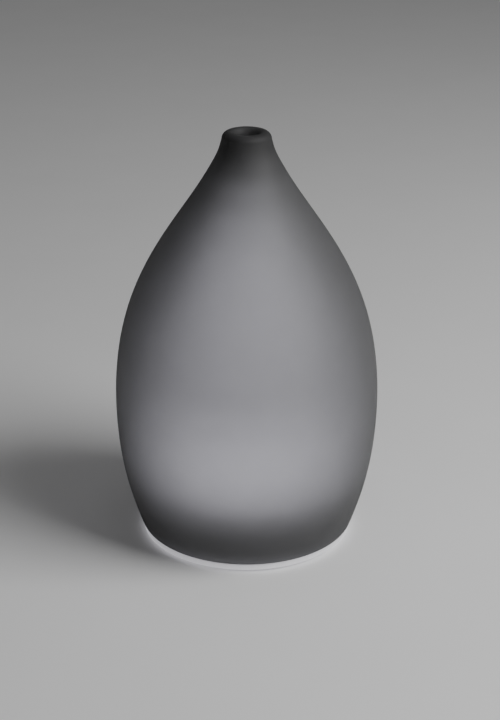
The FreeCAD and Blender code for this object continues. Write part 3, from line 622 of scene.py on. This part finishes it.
def nearby(bm, reach, top):
    """The faces round the notch, with their edges and corners."""
    faces = []
    for face in bm.faces:
        middle = face.calc_center_median()
        if middle.y > 0 and abs(middle.x) < reach and middle.z < top:
            faces.append(face)
    edges = dict.fromkeys(e for f in faces for e in f.edges)
    corners = dict.fromkeys(v for f in faces for v in f.verts)
    return faces + list(edges) + list(corners)


def away_from_notch(x, z, half, top, corner):
    """The direction in the notch's plane that leads from its middle out through its outline."""
    across = max(abs(x) - (half - corner), 0.0)
    above = max(z - (top - corner), 0.0)
    return Vector((math.copysign(across, x), 0, above)).normalized()


def cut_notch(bm, half, top, corner, count=8):
    """Cuts a round-cornered doorway through both walls at the back."""
    least = 0.12 * MM
    planes = [(Vector((half, 0, 0)), Vector((1, 0, 0))), (Vector((-half, 0, 0)), Vector((-1, 0, 0))),
              (Vector((0, 0, top)), UP)]
    for side in (-1, 1):
        for k in range(1, count):
            angle = math.pi / 2 * k / count
            outward = Vector((side * math.cos(angle), 0, math.sin(angle)))
            centre = Vector((side * (half - corner), 0, top - corner))
            planes.append((centre + outward * corner, outward))
    for point, outward in planes:
        bmesh.ops.bisect_plane(bm, geom=nearby(bm, half + corner, top + corner), dist=1e-7,
                               plane_co=point, plane_no=outward)
    inside = []
    for face in bm.faces:
        middle = face.calc_center_median()
        if middle.y > 0 and all((middle - point).dot(outward) < 0 for point, outward in planes):
            inside.append(face)
    bmesh.ops.delete(bm, geom=inside, context="FACES")
    rim = dict.fromkeys(v for e in bm.edges if e.is_boundary for v in e.verts)
    bmesh.ops.remove_doubles(bm, verts=list(rim), dist=least)


def roll_rim(bm, chain, half, top, corner, radius, inward):
    """Adds the quarter-round of the polished edge along one wall's chain of open edges."""
    start, edges, steps = {}, chain, 3
    for v in dict.fromkeys(v for e in chain for v in e.verts):
        start[v] = (v.co.copy(), away_from_notch(v.co.x, v.co.z, half, top, corner))
    for k in range(1, steps + 1):
        angle = math.pi / 2 * k / steps
        grown = bmesh.ops.extrude_edge_only(bm, edges=edges)["geom"]
        fresh = [g for g in grown if isinstance(g, bmesh.types.BMVert)]
        edges = [g for g in grown if isinstance(g, bmesh.types.BMEdge)]
        named = {}
        for v in fresh:
            source = next(u for u in (e.other_vert(v) for e in v.link_edges) if u in start)
            at, outward = start[source]
            radial = Vector((at.x, at.y, 0)).normalized() * inward
            v.co = at - outward * radius * math.sin(angle) + radial * radius * (1 - math.cos(angle))
            named[v] = (at, outward)
        start = named
    return edges


def polish_notch(bm, settings, half, top, corner):
    """Closes the notch between the two walls with a rounded edge."""
    outer = shade_walls(settings)[0]
    heights, radii = [p.y for p in outer], [p.x for p in outer]

    def sunk(v):
        """How far a corner lies inside the outer curve, as a share of the wall."""
        depth = float(np.interp(v.co.z, heights, radii)) - math.hypot(v.co.x, v.co.y)
        return depth / settings.wall

    open_edges = [e for e in bm.edges if e.is_boundary]
    outside = [e for e in open_edges if all(sunk(v) < 0.3 for v in e.verts)]
    inside = [e for e in open_edges if all(sunk(v) > 0.7 for v in e.verts)]
    outside = roll_rim(bm, outside, half, top, corner, settings.rim, -1)
    inside = roll_rim(bm, inside, half, top, corner, settings.rim, 1)
    bmesh.ops.bridge_loops(bm, edges=outside + inside)
    bmesh.ops.holes_fill(bm, edges=[e for e in bm.edges if e.is_boundary], sides=0)
    bmesh.ops.recalc_face_normals(bm, faces=bm.faces)


def shade_mesh(settings):
    bm = lathe(shade_outline(settings), settings.steps)
    side_room = 0.3 * MM
    half = PANEL_BOX[1].x + side_room + settings.notch_margin + settings.rim
    top = PANEL_BOX[1].z + settings.notch_margin + settings.rim
    corner = settings.notch_corner + settings.rim
    cut_notch(bm, half, top, corner)
    polish_notch(bm, settings, half, top, corner)
    return bm


class HUMIDIFIER_OT_shade(Operator):
    """Blow the smoked glass shade and cut its notch"""
    bl_idname = "humidifier.shade"
    bl_label = "Glass shade"

    def execute(self, context):
        settings = context.scene.humidifier_shade
        piece(shade_mesh(settings), "frosted_shade", "glass_shade", ["glass_shade"],
              satin_glass(settings), crease=50)
        return {"FINISHED"}


# ---- Light ring ---------------------------------------------------------------------------------

def ring_mesh():
    """The bright ring, with the upstand that centres the shade and stops short of the panel."""
    low, high, outer = RING_BOX[0].z, RING_BOX[1].z, RING_RADIUS
    top, seat = low + 2.6 * MM, outer - 2.6 * MM
    ledge, ledge_top, cover_top = outer - 4.4 * MM, low + 3.0 * MM, low + 2.0 * MM
    band = lathe(rounded([
        (seat, low, 0.15 * MM), (outer, low, 0.45 * MM), (outer, top, 0.6 * MM),
        (ledge, top, 0.1 * MM), (ledge, cover_top, 0.1 * MM), (seat, cover_top, 0.1 * MM),
    ], 5), 192)
    half_gap, middle = 18.6 * MM, outer - 2.8 * MM
    gap = math.degrees(math.asin(half_gap / middle))
    wall_in, wall_out = outer - 3.3 * MM, outer - 2.3 * MM
    upstand = sector(rounded([
        (wall_in, top - 0.4 * MM, 0.0), (wall_out, top - 0.4 * MM, 0.0),
        (wall_out, high, 0.35 * MM), (wall_in, high, 0.35 * MM),
    ]), 90 + gap, 450 - gap, 160)
    ledge_lip = sector(rounded([
        (ledge, top - 0.4 * MM, 0.0), (wall_in + 0.1 * MM, top - 0.4 * MM, 0.0),
        (wall_in + 0.1 * MM, ledge_top, 0.0), (ledge, ledge_top, 0.15 * MM),
    ]), 90 + gap, 450 - gap, 160)
    return merge_into(band, upstand, ledge_lip)


class HUMIDIFIER_OT_light_ring(Operator):
    """Turn the opal light ring"""
    bl_idname = "humidifier.light_ring"
    bl_label = "Light ring"

    def execute(self, context):
        piece(ring_mesh(), "opal_ring", "base", ["light_ring"],
              lit_ring_opal(context.scene.humidifier_glow))
        return {"FINISHED"}


# ---- Mist dome ----------------------------------------------------------------------------------

def dome_outline():
    """Closed section: skirt with a finger groove, shoulder, chimney with a rolled end, inner wall."""
    wall, skirt_low = 1.6 * MM, TANK_TOP + 0.3 * MM
    spigot, spigot_low = DOME_RADIUS - 2.3 * MM, DOME_BOX[0].z
    outer = smooth_curve(in_metres(DOME_CURVE))
    inner = set_in(outer, wall)
    chimney = inner[-1]
    tip = arc((outer[-1] + chimney) / 2, wall / 2, -12, 168, 6)
    room, groove = 0.4 * MM, 0.35 * MM
    inside = [p for p in inner if p.x < spigot - wall - room and p.y < chimney.y - 1 * MM]
    skirt = rounded([
        (spigot - wall, outer[0].y - room, 0.3 * MM),
        (spigot - wall, spigot_low, 0.5 * MM),
        (spigot, spigot_low, 0.5 * MM),
        (spigot, skirt_low, 0.15 * MM),
        (DOME_RADIUS, skirt_low, 0.45 * MM),
        (DOME_RADIUS, skirt_low + 1.1 * MM, 0.1 * MM),
        (DOME_RADIUS - groove, skirt_low + 1.5 * MM, 0.2 * MM),
        (DOME_RADIUS, skirt_low + 1.9 * MM, 0.1 * MM),
        (outer[0].x, outer[0].y, 0.0),
    ])
    return skirt + outer[1:-1] + tip + inside[::-1]


class HUMIDIFIER_OT_dome(Operator):
    """Turn the mist dome with its chimney"""
    bl_idname = "humidifier.dome"
    bl_label = "Mist dome"

    def execute(self, context):
        glow = context.scene.humidifier_glow
        piece(lathe(dome_outline(), 160), "opal_dome", "mist_dome", ["mist_dome"],
              lit_opal("dome opal painted glow", glow, glow.core, 0.45))
        return {"FINISHED"}


# ---- Tank and housing ---------------------------------------------------------------------------

class HUMIDIFIER_OT_tank(Operator):
    """Finish the water tank, the housing under it and the gasket between them"""
    bl_idname = "humidifier.tank"
    bl_label = "Tank and housing"

    def execute(self, context):
        glow = context.scene.humidifier_glow
        skin = 0.2 * MM
        finish(lit_opal("tank opal painted glow", glow, glow.core, 0.4, TANK_BOX[1].x - skin), "water_tank")
        finish(lit_opal("housing white painted glow", glow, glow.core, 0.5), "base_housing")
        finish(soft_rubber("silicone", (0.72, 0.72, 0.70), 0.6), "tank_gasket", "atomiser_seal")
        return {"FINISHED"}


# ---- Underside ----------------------------------------------------------------------------------

def foot_mesh():
    """A round rubber foot with a shallow hollow in its sole."""
    radius, height, hollow, turned = FOOT_RADIUS, 2.0 * MM, 0.35 * MM, 0.5 * MM
    outline = [Vector((0, hollow))] + arc(Vector((radius * 0.62, turned)), turned, 235, 270, 4)
    outline += rounded([(radius * 0.7, 0, 0.0), (radius, 0, 0.55 * MM), (radius, height, 0.2 * MM),
                        (0, height, 0.0)])[:-1]
    outline.append(Vector((0, height)))
    return lathe(outline, 64, closed=False)


def feet_places():
    offset = FEET_BOX[1].x - FOOT_RADIUS
    return [Matrix.Translation((sx * offset, sy * offset, 0)) for sx in (-1, 1) for sy in (-1, 1)]


class HUMIDIFIER_OT_underside(Operator):
    """Make the rubber feet and finish the bottom cover"""
    bl_idname = "humidifier.underside"
    bl_label = "Cover and feet"

    def execute(self, context):
        piece(copies(foot_mesh, feet_places()), "soft_feet", "base", ["rubber_feet"],
              soft_rubber("foot rubber", (0.035, 0.035, 0.038)))
        finish(moulded_plastic("cover white", (0.74, 0.74, 0.72), 0.5), "bottom_cover")
        return {"FINISHED"}


# ---- Control panel ------------------------------------------------------------------------------

def panel_outline(inset, settings):
    """The panel's outline laid flat, moved inward by inset: rounded above and square below."""
    half = RING_RADIUS * math.asin(PANEL_BOX[1].x / RING_RADIUS) - inset
    low, high = PANEL_BOX[0].z + inset, PANEL_BOX[1].z - inset
    large = settings.corner - inset
    points = [Vector((half, low)), Vector((half, high - large))]
    points += arc(Vector((half - large, high - large)), large, 0, 90, 8)[1:]
    points += arc(Vector((large - half, high - large)), large, 90, 180, 8)
    return points + [Vector((-half, low))]


def loop_at(bm, points, depth):
    """A closed loop of new edges at one depth behind the panel's face."""
    corners = [bm.verts.new((p.x, -depth, p.y)) for p in points]
    return [bm.edges.new(pair) for pair in zip(corners, corners[1:] + corners[:1])]


def bridged(bm, sections):
    """Joins each loop of edges to the next and gives back the first and the last."""
    for one, other in zip(sections, sections[1:]):
        bmesh.ops.bridge_loops(bm, edges=one + other)
    return sections[0], sections[-1]


def panel_mesh(settings):
    """The curved panel: a skin with three holes, and a wall that runs back to the housing."""
    bm = bmesh.new()
    edge, skin, wall = settings.edge, PANEL_SKIN, 1.6 * MM
    inlet_hole, lead_in, strip = 4.0 * MM, 0.3 * MM, 1.0 * MM
    back = PANEL_BOX[1].y - HOUSING_BOX[1].x
    round_over = [(edge * (1 - math.sin(a)), edge * (1 - math.cos(a)))
                  for a in (math.pi / 6 * k for k in range(4))]
    rims = [(inset, depth) for inset, depth in round_over] + [(0, back), (wall, back), (wall, skin)]
    front, rear = bridged(bm, [loop_at(bm, panel_outline(i, settings), d) for i, d in rims])
    fronts, rears = front[:], rear[:]
    spread = RING_RADIUS * settings.spread
    button_hole = settings.button + BUTTON_PLAY
    for x, radius in ((0, inlet_hole), (-spread, button_hole), (spread, button_hole)):
        sizes = [(radius + lead_in, 0), (radius + lead_in * 0.3, lead_in * 0.3), (radius, lead_in),
                 (radius, skin)]
        loops = [loop_at(bm, arc(Vector((x, CONTROL_Z)), r, 0, 360, 48)[:-1], d) for r, d in sizes]
        front, rear = bridged(bm, loops)
        fronts += front
        rears += rear
    bmesh.ops.triangle_fill(bm, use_beauty=True, use_dissolve=False, edges=fronts)
    bmesh.ops.triangle_fill(bm, use_beauty=True, use_dissolve=False, edges=rears)
    cut_into_strips(bm, strip)
    bend_round(bm, spread, settings)
    return tidy(bm)


def cut_into_strips(bm, width):
    """Cuts the flat panel across, so that it can be bent."""
    count = int(20 * MM / width)
    for k in range(-count, count + 1):
        bmesh.ops.bisect_plane(bm, geom=bm.verts[:] + bm.edges[:] + bm.faces[:], dist=1e-6,
                               plane_co=(k * width, 0, 0), plane_no=(1, 0, 0))


def bend_round(bm, spread, settings):
    """Wraps the flat panel round. Button holes point at the axis, and the rest straight back."""
    reach = settings.button + 0.8 * MM
    for v in bm.verts:
        angle = v.co.x / RING_RADIUS
        middle = math.copysign(spread, v.co.x)
        by_button = math.hypot(v.co.x - middle, v.co.z - CONTROL_Z) < reach
        lean = math.copysign(settings.spread, v.co.x) if by_button else 0.0
        depth = -v.co.y
        v.co.x = RING_RADIUS * math.sin(angle) - depth * math.sin(lean)
        v.co.y = RING_RADIUS * math.cos(angle) - depth * math.cos(lean)


class HUMIDIFIER_OT_panel(Operator):
    """Form the control panel in the shade's notch"""
    bl_idname = "humidifier.panel"
    bl_label = "Control panel"

    def execute(self, context):
        settings = context.scene.humidifier_controls
        piece(panel_mesh(settings), "curved_panel", "base", ["control_panel"],
              moulded_plastic("panel grey", (0.055, 0.055, 0.06), 0.5, 0.3, 0.05, 0.06))
        return {"FINISHED"}


# ---- Buttons ------------------------------------------------------------------------------------

def drop_outline(size):
    """A round drop with its point upward."""
    low = arc(Vector((0, 0)), size, -215, 35, 20)
    return low + [Vector((0.0, 2.1 * size))]


def raised(outline, height, thick):
    """A small raised mark, thick above the height, its axis upright."""
    return slab(outline, height - 0.1 * MM, height + thick, thick * 0.5, 2)


def drop_mark(height):
    size, drop = 0.62 * MM, 0.35 * MM
    return moved(raised(drop_outline(size), height, MARK_HEIGHT), Matrix.Translation((0, -drop, 0)))


def sun_mark(height):
    radius, half, near, far = 0.55 * MM, 0.11 * MM, 0.85 * MM, 1.35 * MM
    disc = raised(arc(Vector((0, 0)), radius, 0, 360, 20)[:-1], height, MARK_HEIGHT)
    ray = [Vector((-half, near)), Vector((half, near)), Vector((half, far)), Vector((-half, far))]
    rays = [moved(raised(ray, height, MARK_HEIGHT), Matrix.Rotation(math.pi / 4 * k, 4, "Z"))
            for k in range(8)]
    return merge_into(disc, *rays)


def button_cap(settings, face):
    """Cap with a shallow fingertip dish, the flange that keeps it in and the stem, axis upright."""
    radius, rim = settings.button, 0.55 * MM
    flange, stem, stem_end = 3.9 * MM, 1.5 * MM, 35.2 * MM
    flange_front = RING_RADIUS - PANEL_SKIN - 0.45 * MM
    flange_back = RING_RADIUS - PANEL_SKIN - 1.4 * MM
    dish = [Vector((0, face - 0.22 * MM)), Vector((radius * 0.3, face - 0.20 * MM)),
            Vector((radius * 0.6, face - 0.11 * MM)),
            Vector((radius - rim - 0.1 * MM, face - 0.01 * MM))]
    edge = arc(Vector((radius - rim, face - rim)), rim, 90, 0, 6)
    rest = rounded([
        (radius, flange_front, 0.1 * MM), (flange, flange_front, 0.15 * MM),
        (flange, flange_back, 0.15 * MM), (stem, flange_back, 0.1 * MM),
        (stem, stem_end, 0.2 * MM), (stem / 2, stem_end, 0.0), (radius, face - rim, 0.0),
    ])[:-2]
    return lathe(dish + edge + rest + [Vector((0, stem_end))], 72, closed=False)


def button_mesh(settings, mark, side):
    face, dish = RING_RADIUS + BUTTON_PROUD, 0.21 * MM
    stood = merge_into(button_cap(settings, face), mark(face - dish))
    turn = Matrix.Rotation(-side * settings.spread, 4, "Z")
    return moved(stood, turn @ Matrix.Translation((0, 0, CONTROL_Z)) @ upright_to_back())


class HUMIDIFIER_OT_buttons(Operator):
    """Make the mist button and the light button"""
    bl_idname = "humidifier.buttons"
    bl_label = "Buttons"

    def execute(self, context):
        settings = context.scene.humidifier_controls
        material = moulded_plastic("button grey", (0.62, 0.63, 0.65), 0.28, 0.5, 0.01, 0.02)
        for name, mark, side in (("mist", drop_mark, 1), ("light", sun_mark, -1)):
            piece(button_mesh(settings, mark, side), name + "_cap", name + "_button", [name + "_button"],
                  material)
        dark = moulded_plastic("switch black", (0.02, 0.02, 0.022), 0.4)
        finish(dark, "mist_switch", "light_switch", "mist_plunger", "light_plunger")
        return {"FINISHED"}


# ---- Power inlet --------------------------------------------------------------------------------

def inlet_mesh(settings):
    """The barrel socket: a square body on the board and a round nose with a flared mouth."""
    nose_length, bore, wall, core = 4.4 * MM, 2.75 * MM, 0.5 * MM, 0.9 * MM
    face, nose = JACK_BOX[1].y, settings.inlet
    nose_from, sleeve_from = face - nose_length, JACK_BOX[0].y + 3 * MM
    core_end, overlap = nose_from - 6.5 * MM, 0.1 * MM
    ring = lathe(rounded([
        (bore, nose_from, 0.0), (nose, nose_from, 0.0), (nose, face, 0.35 * MM),
        (bore + 0.35 * MM, face, 0.12 * MM), (bore, face - 0.45 * MM, 0.1 * MM),
    ]), 72)
    floor = lathe([(core, sleeve_from), (core, core_end), (bore + overlap, core_end),
                   (bore + overlap, sleeve_from)], 48)
    sleeve = lathe([(bore, sleeve_from), (bore + wall, sleeve_from),
                    (bore + wall, nose_from + 0.2 * MM), (bore, nose_from + 0.2 * MM)], 72)
    shells = merge_into(ring, sleeve, floor)
    moved(shells, Matrix.Translation((0, 0, CONTROL_Z)) @ upright_to_back())
    return merge_into(shells, inlet_body(bore + wall, JACK_BOX[0].y, nose_from))


def inlet_body(hole, back, front):
    """The square block round the sleeve, with a round way through it."""
    bm = bmesh.new()
    half, low, high, chamfer = JACK_BOX[1].x, JACK_BOX[0].z, JACK_BOX[1].z, 0.3 * MM

    def corners(inset):
        return [Vector((x, z)) for x, z in (
            (inset - half, low + inset), (half - inset, low + inset),
            (half - inset, high - inset), (inset - half, high - inset))]

    square, inner = corners(0), corners(chamfer)
    circle = arc(Vector((0, CONTROL_Z)), hole, 0, 360, 32)[:-1]
    frames = [loop_at(bm, inner, -back), loop_at(bm, square, -back - chamfer),
              loop_at(bm, square, -front + chamfer), loop_at(bm, inner, -front)]
    rear, front_frame = bridged(bm, frames)
    rear_hole, front_hole = bridged(bm, [loop_at(bm, circle, -back), loop_at(bm, circle, -front)])
    bmesh.ops.triangle_fill(bm, use_beauty=True, use_dissolve=False, edges=rear + rear_hole)
    bmesh.ops.triangle_fill(bm, use_beauty=True, use_dissolve=False, edges=front_frame + front_hole)
    return tidy(bm)


def inlet_pin_mesh():
    """The centre pin with a round tip."""
    radius, tip, root = (PIN_BOX[1].x - PIN_BOX[0].x) / 2, PIN_BOX[1].y, PIN_BOX[0].y
    shank, shoulder = 0.88 * MM, root + 1.8 * MM
    outline = [Vector((0, root)), Vector((shank, root)), Vector((shank, shoulder)),
               Vector((radius, shoulder))]
    outline += arc(Vector((0, tip - radius)), radius, 0, 90, 8)
    pin = lathe(outline, 40, closed=False)
    return moved(pin, Matrix.Translation((0, 0, CONTROL_Z)) @ upright_to_back())


class HUMIDIFIER_OT_inlet(Operator):
    """Make the power inlet and its pin"""
    bl_idname = "humidifier.inlet"
    bl_label = "Power inlet"

    def execute(self, context):
        settings = context.scene.humidifier_controls
        piece(inlet_mesh(settings), "barrel_inlet", "base", ["dc_jack"],
              moulded_plastic("inlet black", (0.015, 0.015, 0.016), 0.35))
        piece(inlet_pin_mesh(), "inlet_pin", "base", ["jack_pin"],
              worked_metal("nickel", (0.72, 0.70, 0.66), 0.2, (1, 12, 1)))
        return {"FINISHED"}


# ---- Carried-over parts inside ------------------------------------------------------------------

class HUMIDIFIER_OT_fan(Operator):
    """Finish the fan, its motor and the air duct"""
    bl_idname = "humidifier.fan"
    bl_label = "Fan and duct"

    def execute(self, context):
        black = moulded_plastic("fan black", (0.018, 0.018, 0.02), 0.42, 0.5, 0.04, 0.1)
        finish(black, "fan_frame", "fan_impeller")
        finish(moulded_plastic("duct grey", (0.05, 0.05, 0.055), 0.5, 0.4, 0.04, 0.08), "air_duct")
        finish(worked_metal("oiled bronze", (0.50, 0.30, 0.14), 0.38, (8, 8, 1), 0.3), "fan_bearing")
        finish(wound_wire("motor windings", (0.72, 0.32, 0.14), 0.3), "stator_coils")
        finish(moulded_plastic("bonded magnet", (0.06, 0.055, 0.055), 0.65, 0.2, 0.05, 0.15), "rotor_magnet")
        finish(worked_metal("ground steel", (0.66, 0.66, 0.66), 0.18), "fan_shaft")
        return {"FINISHED"}


class HUMIDIFIER_OT_atomiser(Operator):
    """Finish the ultrasonic disc and its clamp"""
    bl_idname = "humidifier.atomiser"
    bl_label = "Atomiser"

    def execute(self, context):
        low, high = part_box("atomiser_disc")
        finish(plate_and_ceramic("disc brass and ceramic", low.z, high.z), "atomiser_disc")
        finish(worked_metal("pressed steel", (0.58, 0.58, 0.57), 0.3, (1, 1, 1), 0.5), "atomiser_clamp")
        return {"FINISHED"}


class HUMIDIFIER_OT_boards(Operator):
    """Finish both circuit boards and what is soldered to them"""
    bl_idname = "humidifier.boards"
    bl_label = "Boards"

    def execute(self, context):
        finish(solder_mask("board green"), "control_board")
        finish(solder_mask("lamp board white", (0.30, 0.32, 0.31)), "led_board")
        low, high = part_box("leds")
        finish(layered("lamp package", low.z, high.z,
                       ((0.0, (0.80, 0.80, 0.76)), (0.8, (0.75, 0.62, 0.18)))), "leds")
        finish(moulded_plastic("epoxy", (0.018, 0.018, 0.02), 0.5, 0.25, 0.03, 0.1), "microcontroller",
               "drive_transistor")
        finish(worked_metal("extruded aluminium", (0.60, 0.61, 0.62), 0.35, (1, 1, 10), 0.4), "heat_sink")
        finish(wound_wire("coil winding", (0.30, 0.12, 0.05), 0.5), "tuning_coil")
        low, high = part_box("capacitors")
        finish(layered("capacitor sleeve", low.z, high.z,
                       ((0.0, (0.03, 0.05, 0.14)), (0.76, (0.035, 0.055, 0.15)), (0.94, (0.6, 0.6, 0.6)))),
               "capacitors")
        finish(moulded_plastic("natural nylon", (0.74, 0.70, 0.58), 0.35), "wire_connectors")
        return {"FINISHED"}


class HUMIDIFIER_OT_fasteners(Operator):
    """Finish every screw"""
    bl_idname = "humidifier.fasteners"
    bl_label = "Screws"

    def execute(self, context):
        finish(worked_metal("zinc plate", (0.60, 0.60, 0.58), 0.3, (1, 1, 6), 0.5), "cover_screws",
               "tank_screws", "atomiser_clamp_screws", "fan_screws", "led_board_screws", "board_screws")
        return {"FINISHED"}


class HUMIDIFIER_OT_leads(Operator):
    """Finish the insulated leads"""
    bl_idname = "humidifier.leads"
    bl_label = "Leads"

    def execute(self, context):
        finish(moulded_plastic("red sleeve", (0.45, 0.03, 0.025), 0.35, 0.6, 0.02, 0.05), "fan_leads")
        finish(moulded_plastic("black sleeve", (0.02, 0.02, 0.022), 0.35, 0.6, 0.02, 0.05),
               "atomiser_leads")
        finish(moulded_plastic("white sleeve", (0.62, 0.61, 0.58), 0.35, 0.6, 0.02, 0.05), "led_leads")
        return {"FINISHED"}


# ---- Stage --------------------------------------------------------------------------------------

def pale_floor(settings):
    pale = settings.floor
    colour = (pale, pale, pale)
    material = new_material("pale floor", colour, 0.85)
    mottle(material, colour, speckle(material, 0.06, 3.0), 0.008)
    vary_roughness(material, speckle(material, 0.02, 2.0), 0.82, 0.9)
    return material


def lay_floor(settings):
    bm = bmesh.new()
    bmesh.ops.create_grid(bm, x_segments=1, y_segments=1, size=3.0)
    mesh = bpy.data.meshes.new("floor")
    bm.to_mesh(mesh)
    bm.free()
    mesh.materials.append(pale_floor(settings))
    floor = bpy.data.objects.new("floor", mesh)
    bpy.context.scene.collection.objects.link(floor)


def soft_box(name, place, aim, size, power):
    light = bpy.data.lights.new(name, "AREA")
    light.shape = "RECTANGLE"
    light.size, light.size_y = size
    light.energy = power
    lamp = bpy.data.objects.new(name, light)
    bpy.context.scene.collection.objects.link(lamp)
    lamp.location = place
    lamp.rotation_euler = (Vector(aim) - Vector(place)).to_track_quat("-Z", "Y").to_euler()


def set_room(settings):
    room = bpy.data.worlds.new("room")
    room.use_nodes = True
    background = room.node_tree.nodes["Background"]
    background.inputs["Color"].default_value = (1, 1, 1, 1)
    background.inputs["Strength"].default_value = settings.room
    bpy.context.scene.world = room


def set_camera(settings):
    data = bpy.data.cameras.new("camera")
    data.sensor_width = 36
    data.lens = settings.lens
    data.shift_x, data.shift_y = settings.shift_x, settings.shift_y
    camera = bpy.data.objects.new("camera", data)
    bpy.context.scene.collection.objects.link(camera)
    camera.location = (0, -settings.distance, settings.height)
    camera.rotation_euler = (math.pi / 2 - settings.tilt, 0, 0)
    bpy.context.scene.camera = camera


class HUMIDIFIER_OT_stage(Operator):
    """Set the floor, the lights and the camera"""
    bl_idname = "humidifier.stage"
    bl_label = "Stage"

    def execute(self, context):
        settings = context.scene.humidifier_stage
        set_camera(settings)
        lay_floor(settings)
        set_room(settings)
        soft_box("soft_box", (0.64, -0.3, 0.66), (0, 0, 0.08), (0.6, 0.6), settings.lamp)
        context.scene.view_settings.view_transform = "AgX"
        context.scene.cycles.use_denoising = True
        return {"FINISHED"}


# ---- Sidebar and registration -------------------------------------------------------------------

STEPS = (
    HUMIDIFIER_OT_stage, HUMIDIFIER_OT_shade, HUMIDIFIER_OT_light_ring, HUMIDIFIER_OT_dome,
    HUMIDIFIER_OT_tank, HUMIDIFIER_OT_underside, HUMIDIFIER_OT_panel, HUMIDIFIER_OT_buttons,
    HUMIDIFIER_OT_inlet, HUMIDIFIER_OT_fan, HUMIDIFIER_OT_atomiser, HUMIDIFIER_OT_boards,
    HUMIDIFIER_OT_fasteners, HUMIDIFIER_OT_leads,
)
SETTINGS = {
    "humidifier_shade": ShadeSettings,
    "humidifier_glow": GlowSettings,
    "humidifier_controls": ControlSettings,
    "humidifier_stage": StageSettings,
}


class HUMIDIFIER_PT_sidebar(Panel):
    """Lists the humidifier's settings and steps"""
    bl_idname = "HUMIDIFIER_PT_sidebar"
    bl_label = "Cool Mist Humidifier"
    bl_space_type = "VIEW_3D"
    bl_region_type = "UI"
    bl_category = "Humidifier"

    def draw(self, context):
        for name, group in SETTINGS.items():
            box = self.layout.box()
            settings = getattr(context.scene, name)
            for field in group.__annotations__:
                box.prop(settings, field)
        for step in STEPS:
            self.layout.operator(step.bl_idname)


def register():
    for name, group in SETTINGS.items():
        bpy.utils.register_class(group)
        setattr(bpy.types.Scene, name, PointerProperty(type=group))
    for step in STEPS:
        bpy.utils.register_class(step)
    bpy.utils.register_class(HUMIDIFIER_PT_sidebar)


def unregister():
    bpy.utils.unregister_class(HUMIDIFIER_PT_sidebar)
    for step in reversed(STEPS):
        bpy.utils.unregister_class(step)
    for name, group in SETTINGS.items():
        delattr(bpy.types.Scene, name)
        bpy.utils.unregister_class(group)


def main():
    register()
    for step in STEPS:
        group, name = step.bl_idname.split(".")
        getattr(getattr(bpy.ops, group), name)()


if __name__ == "__main__":
    main()
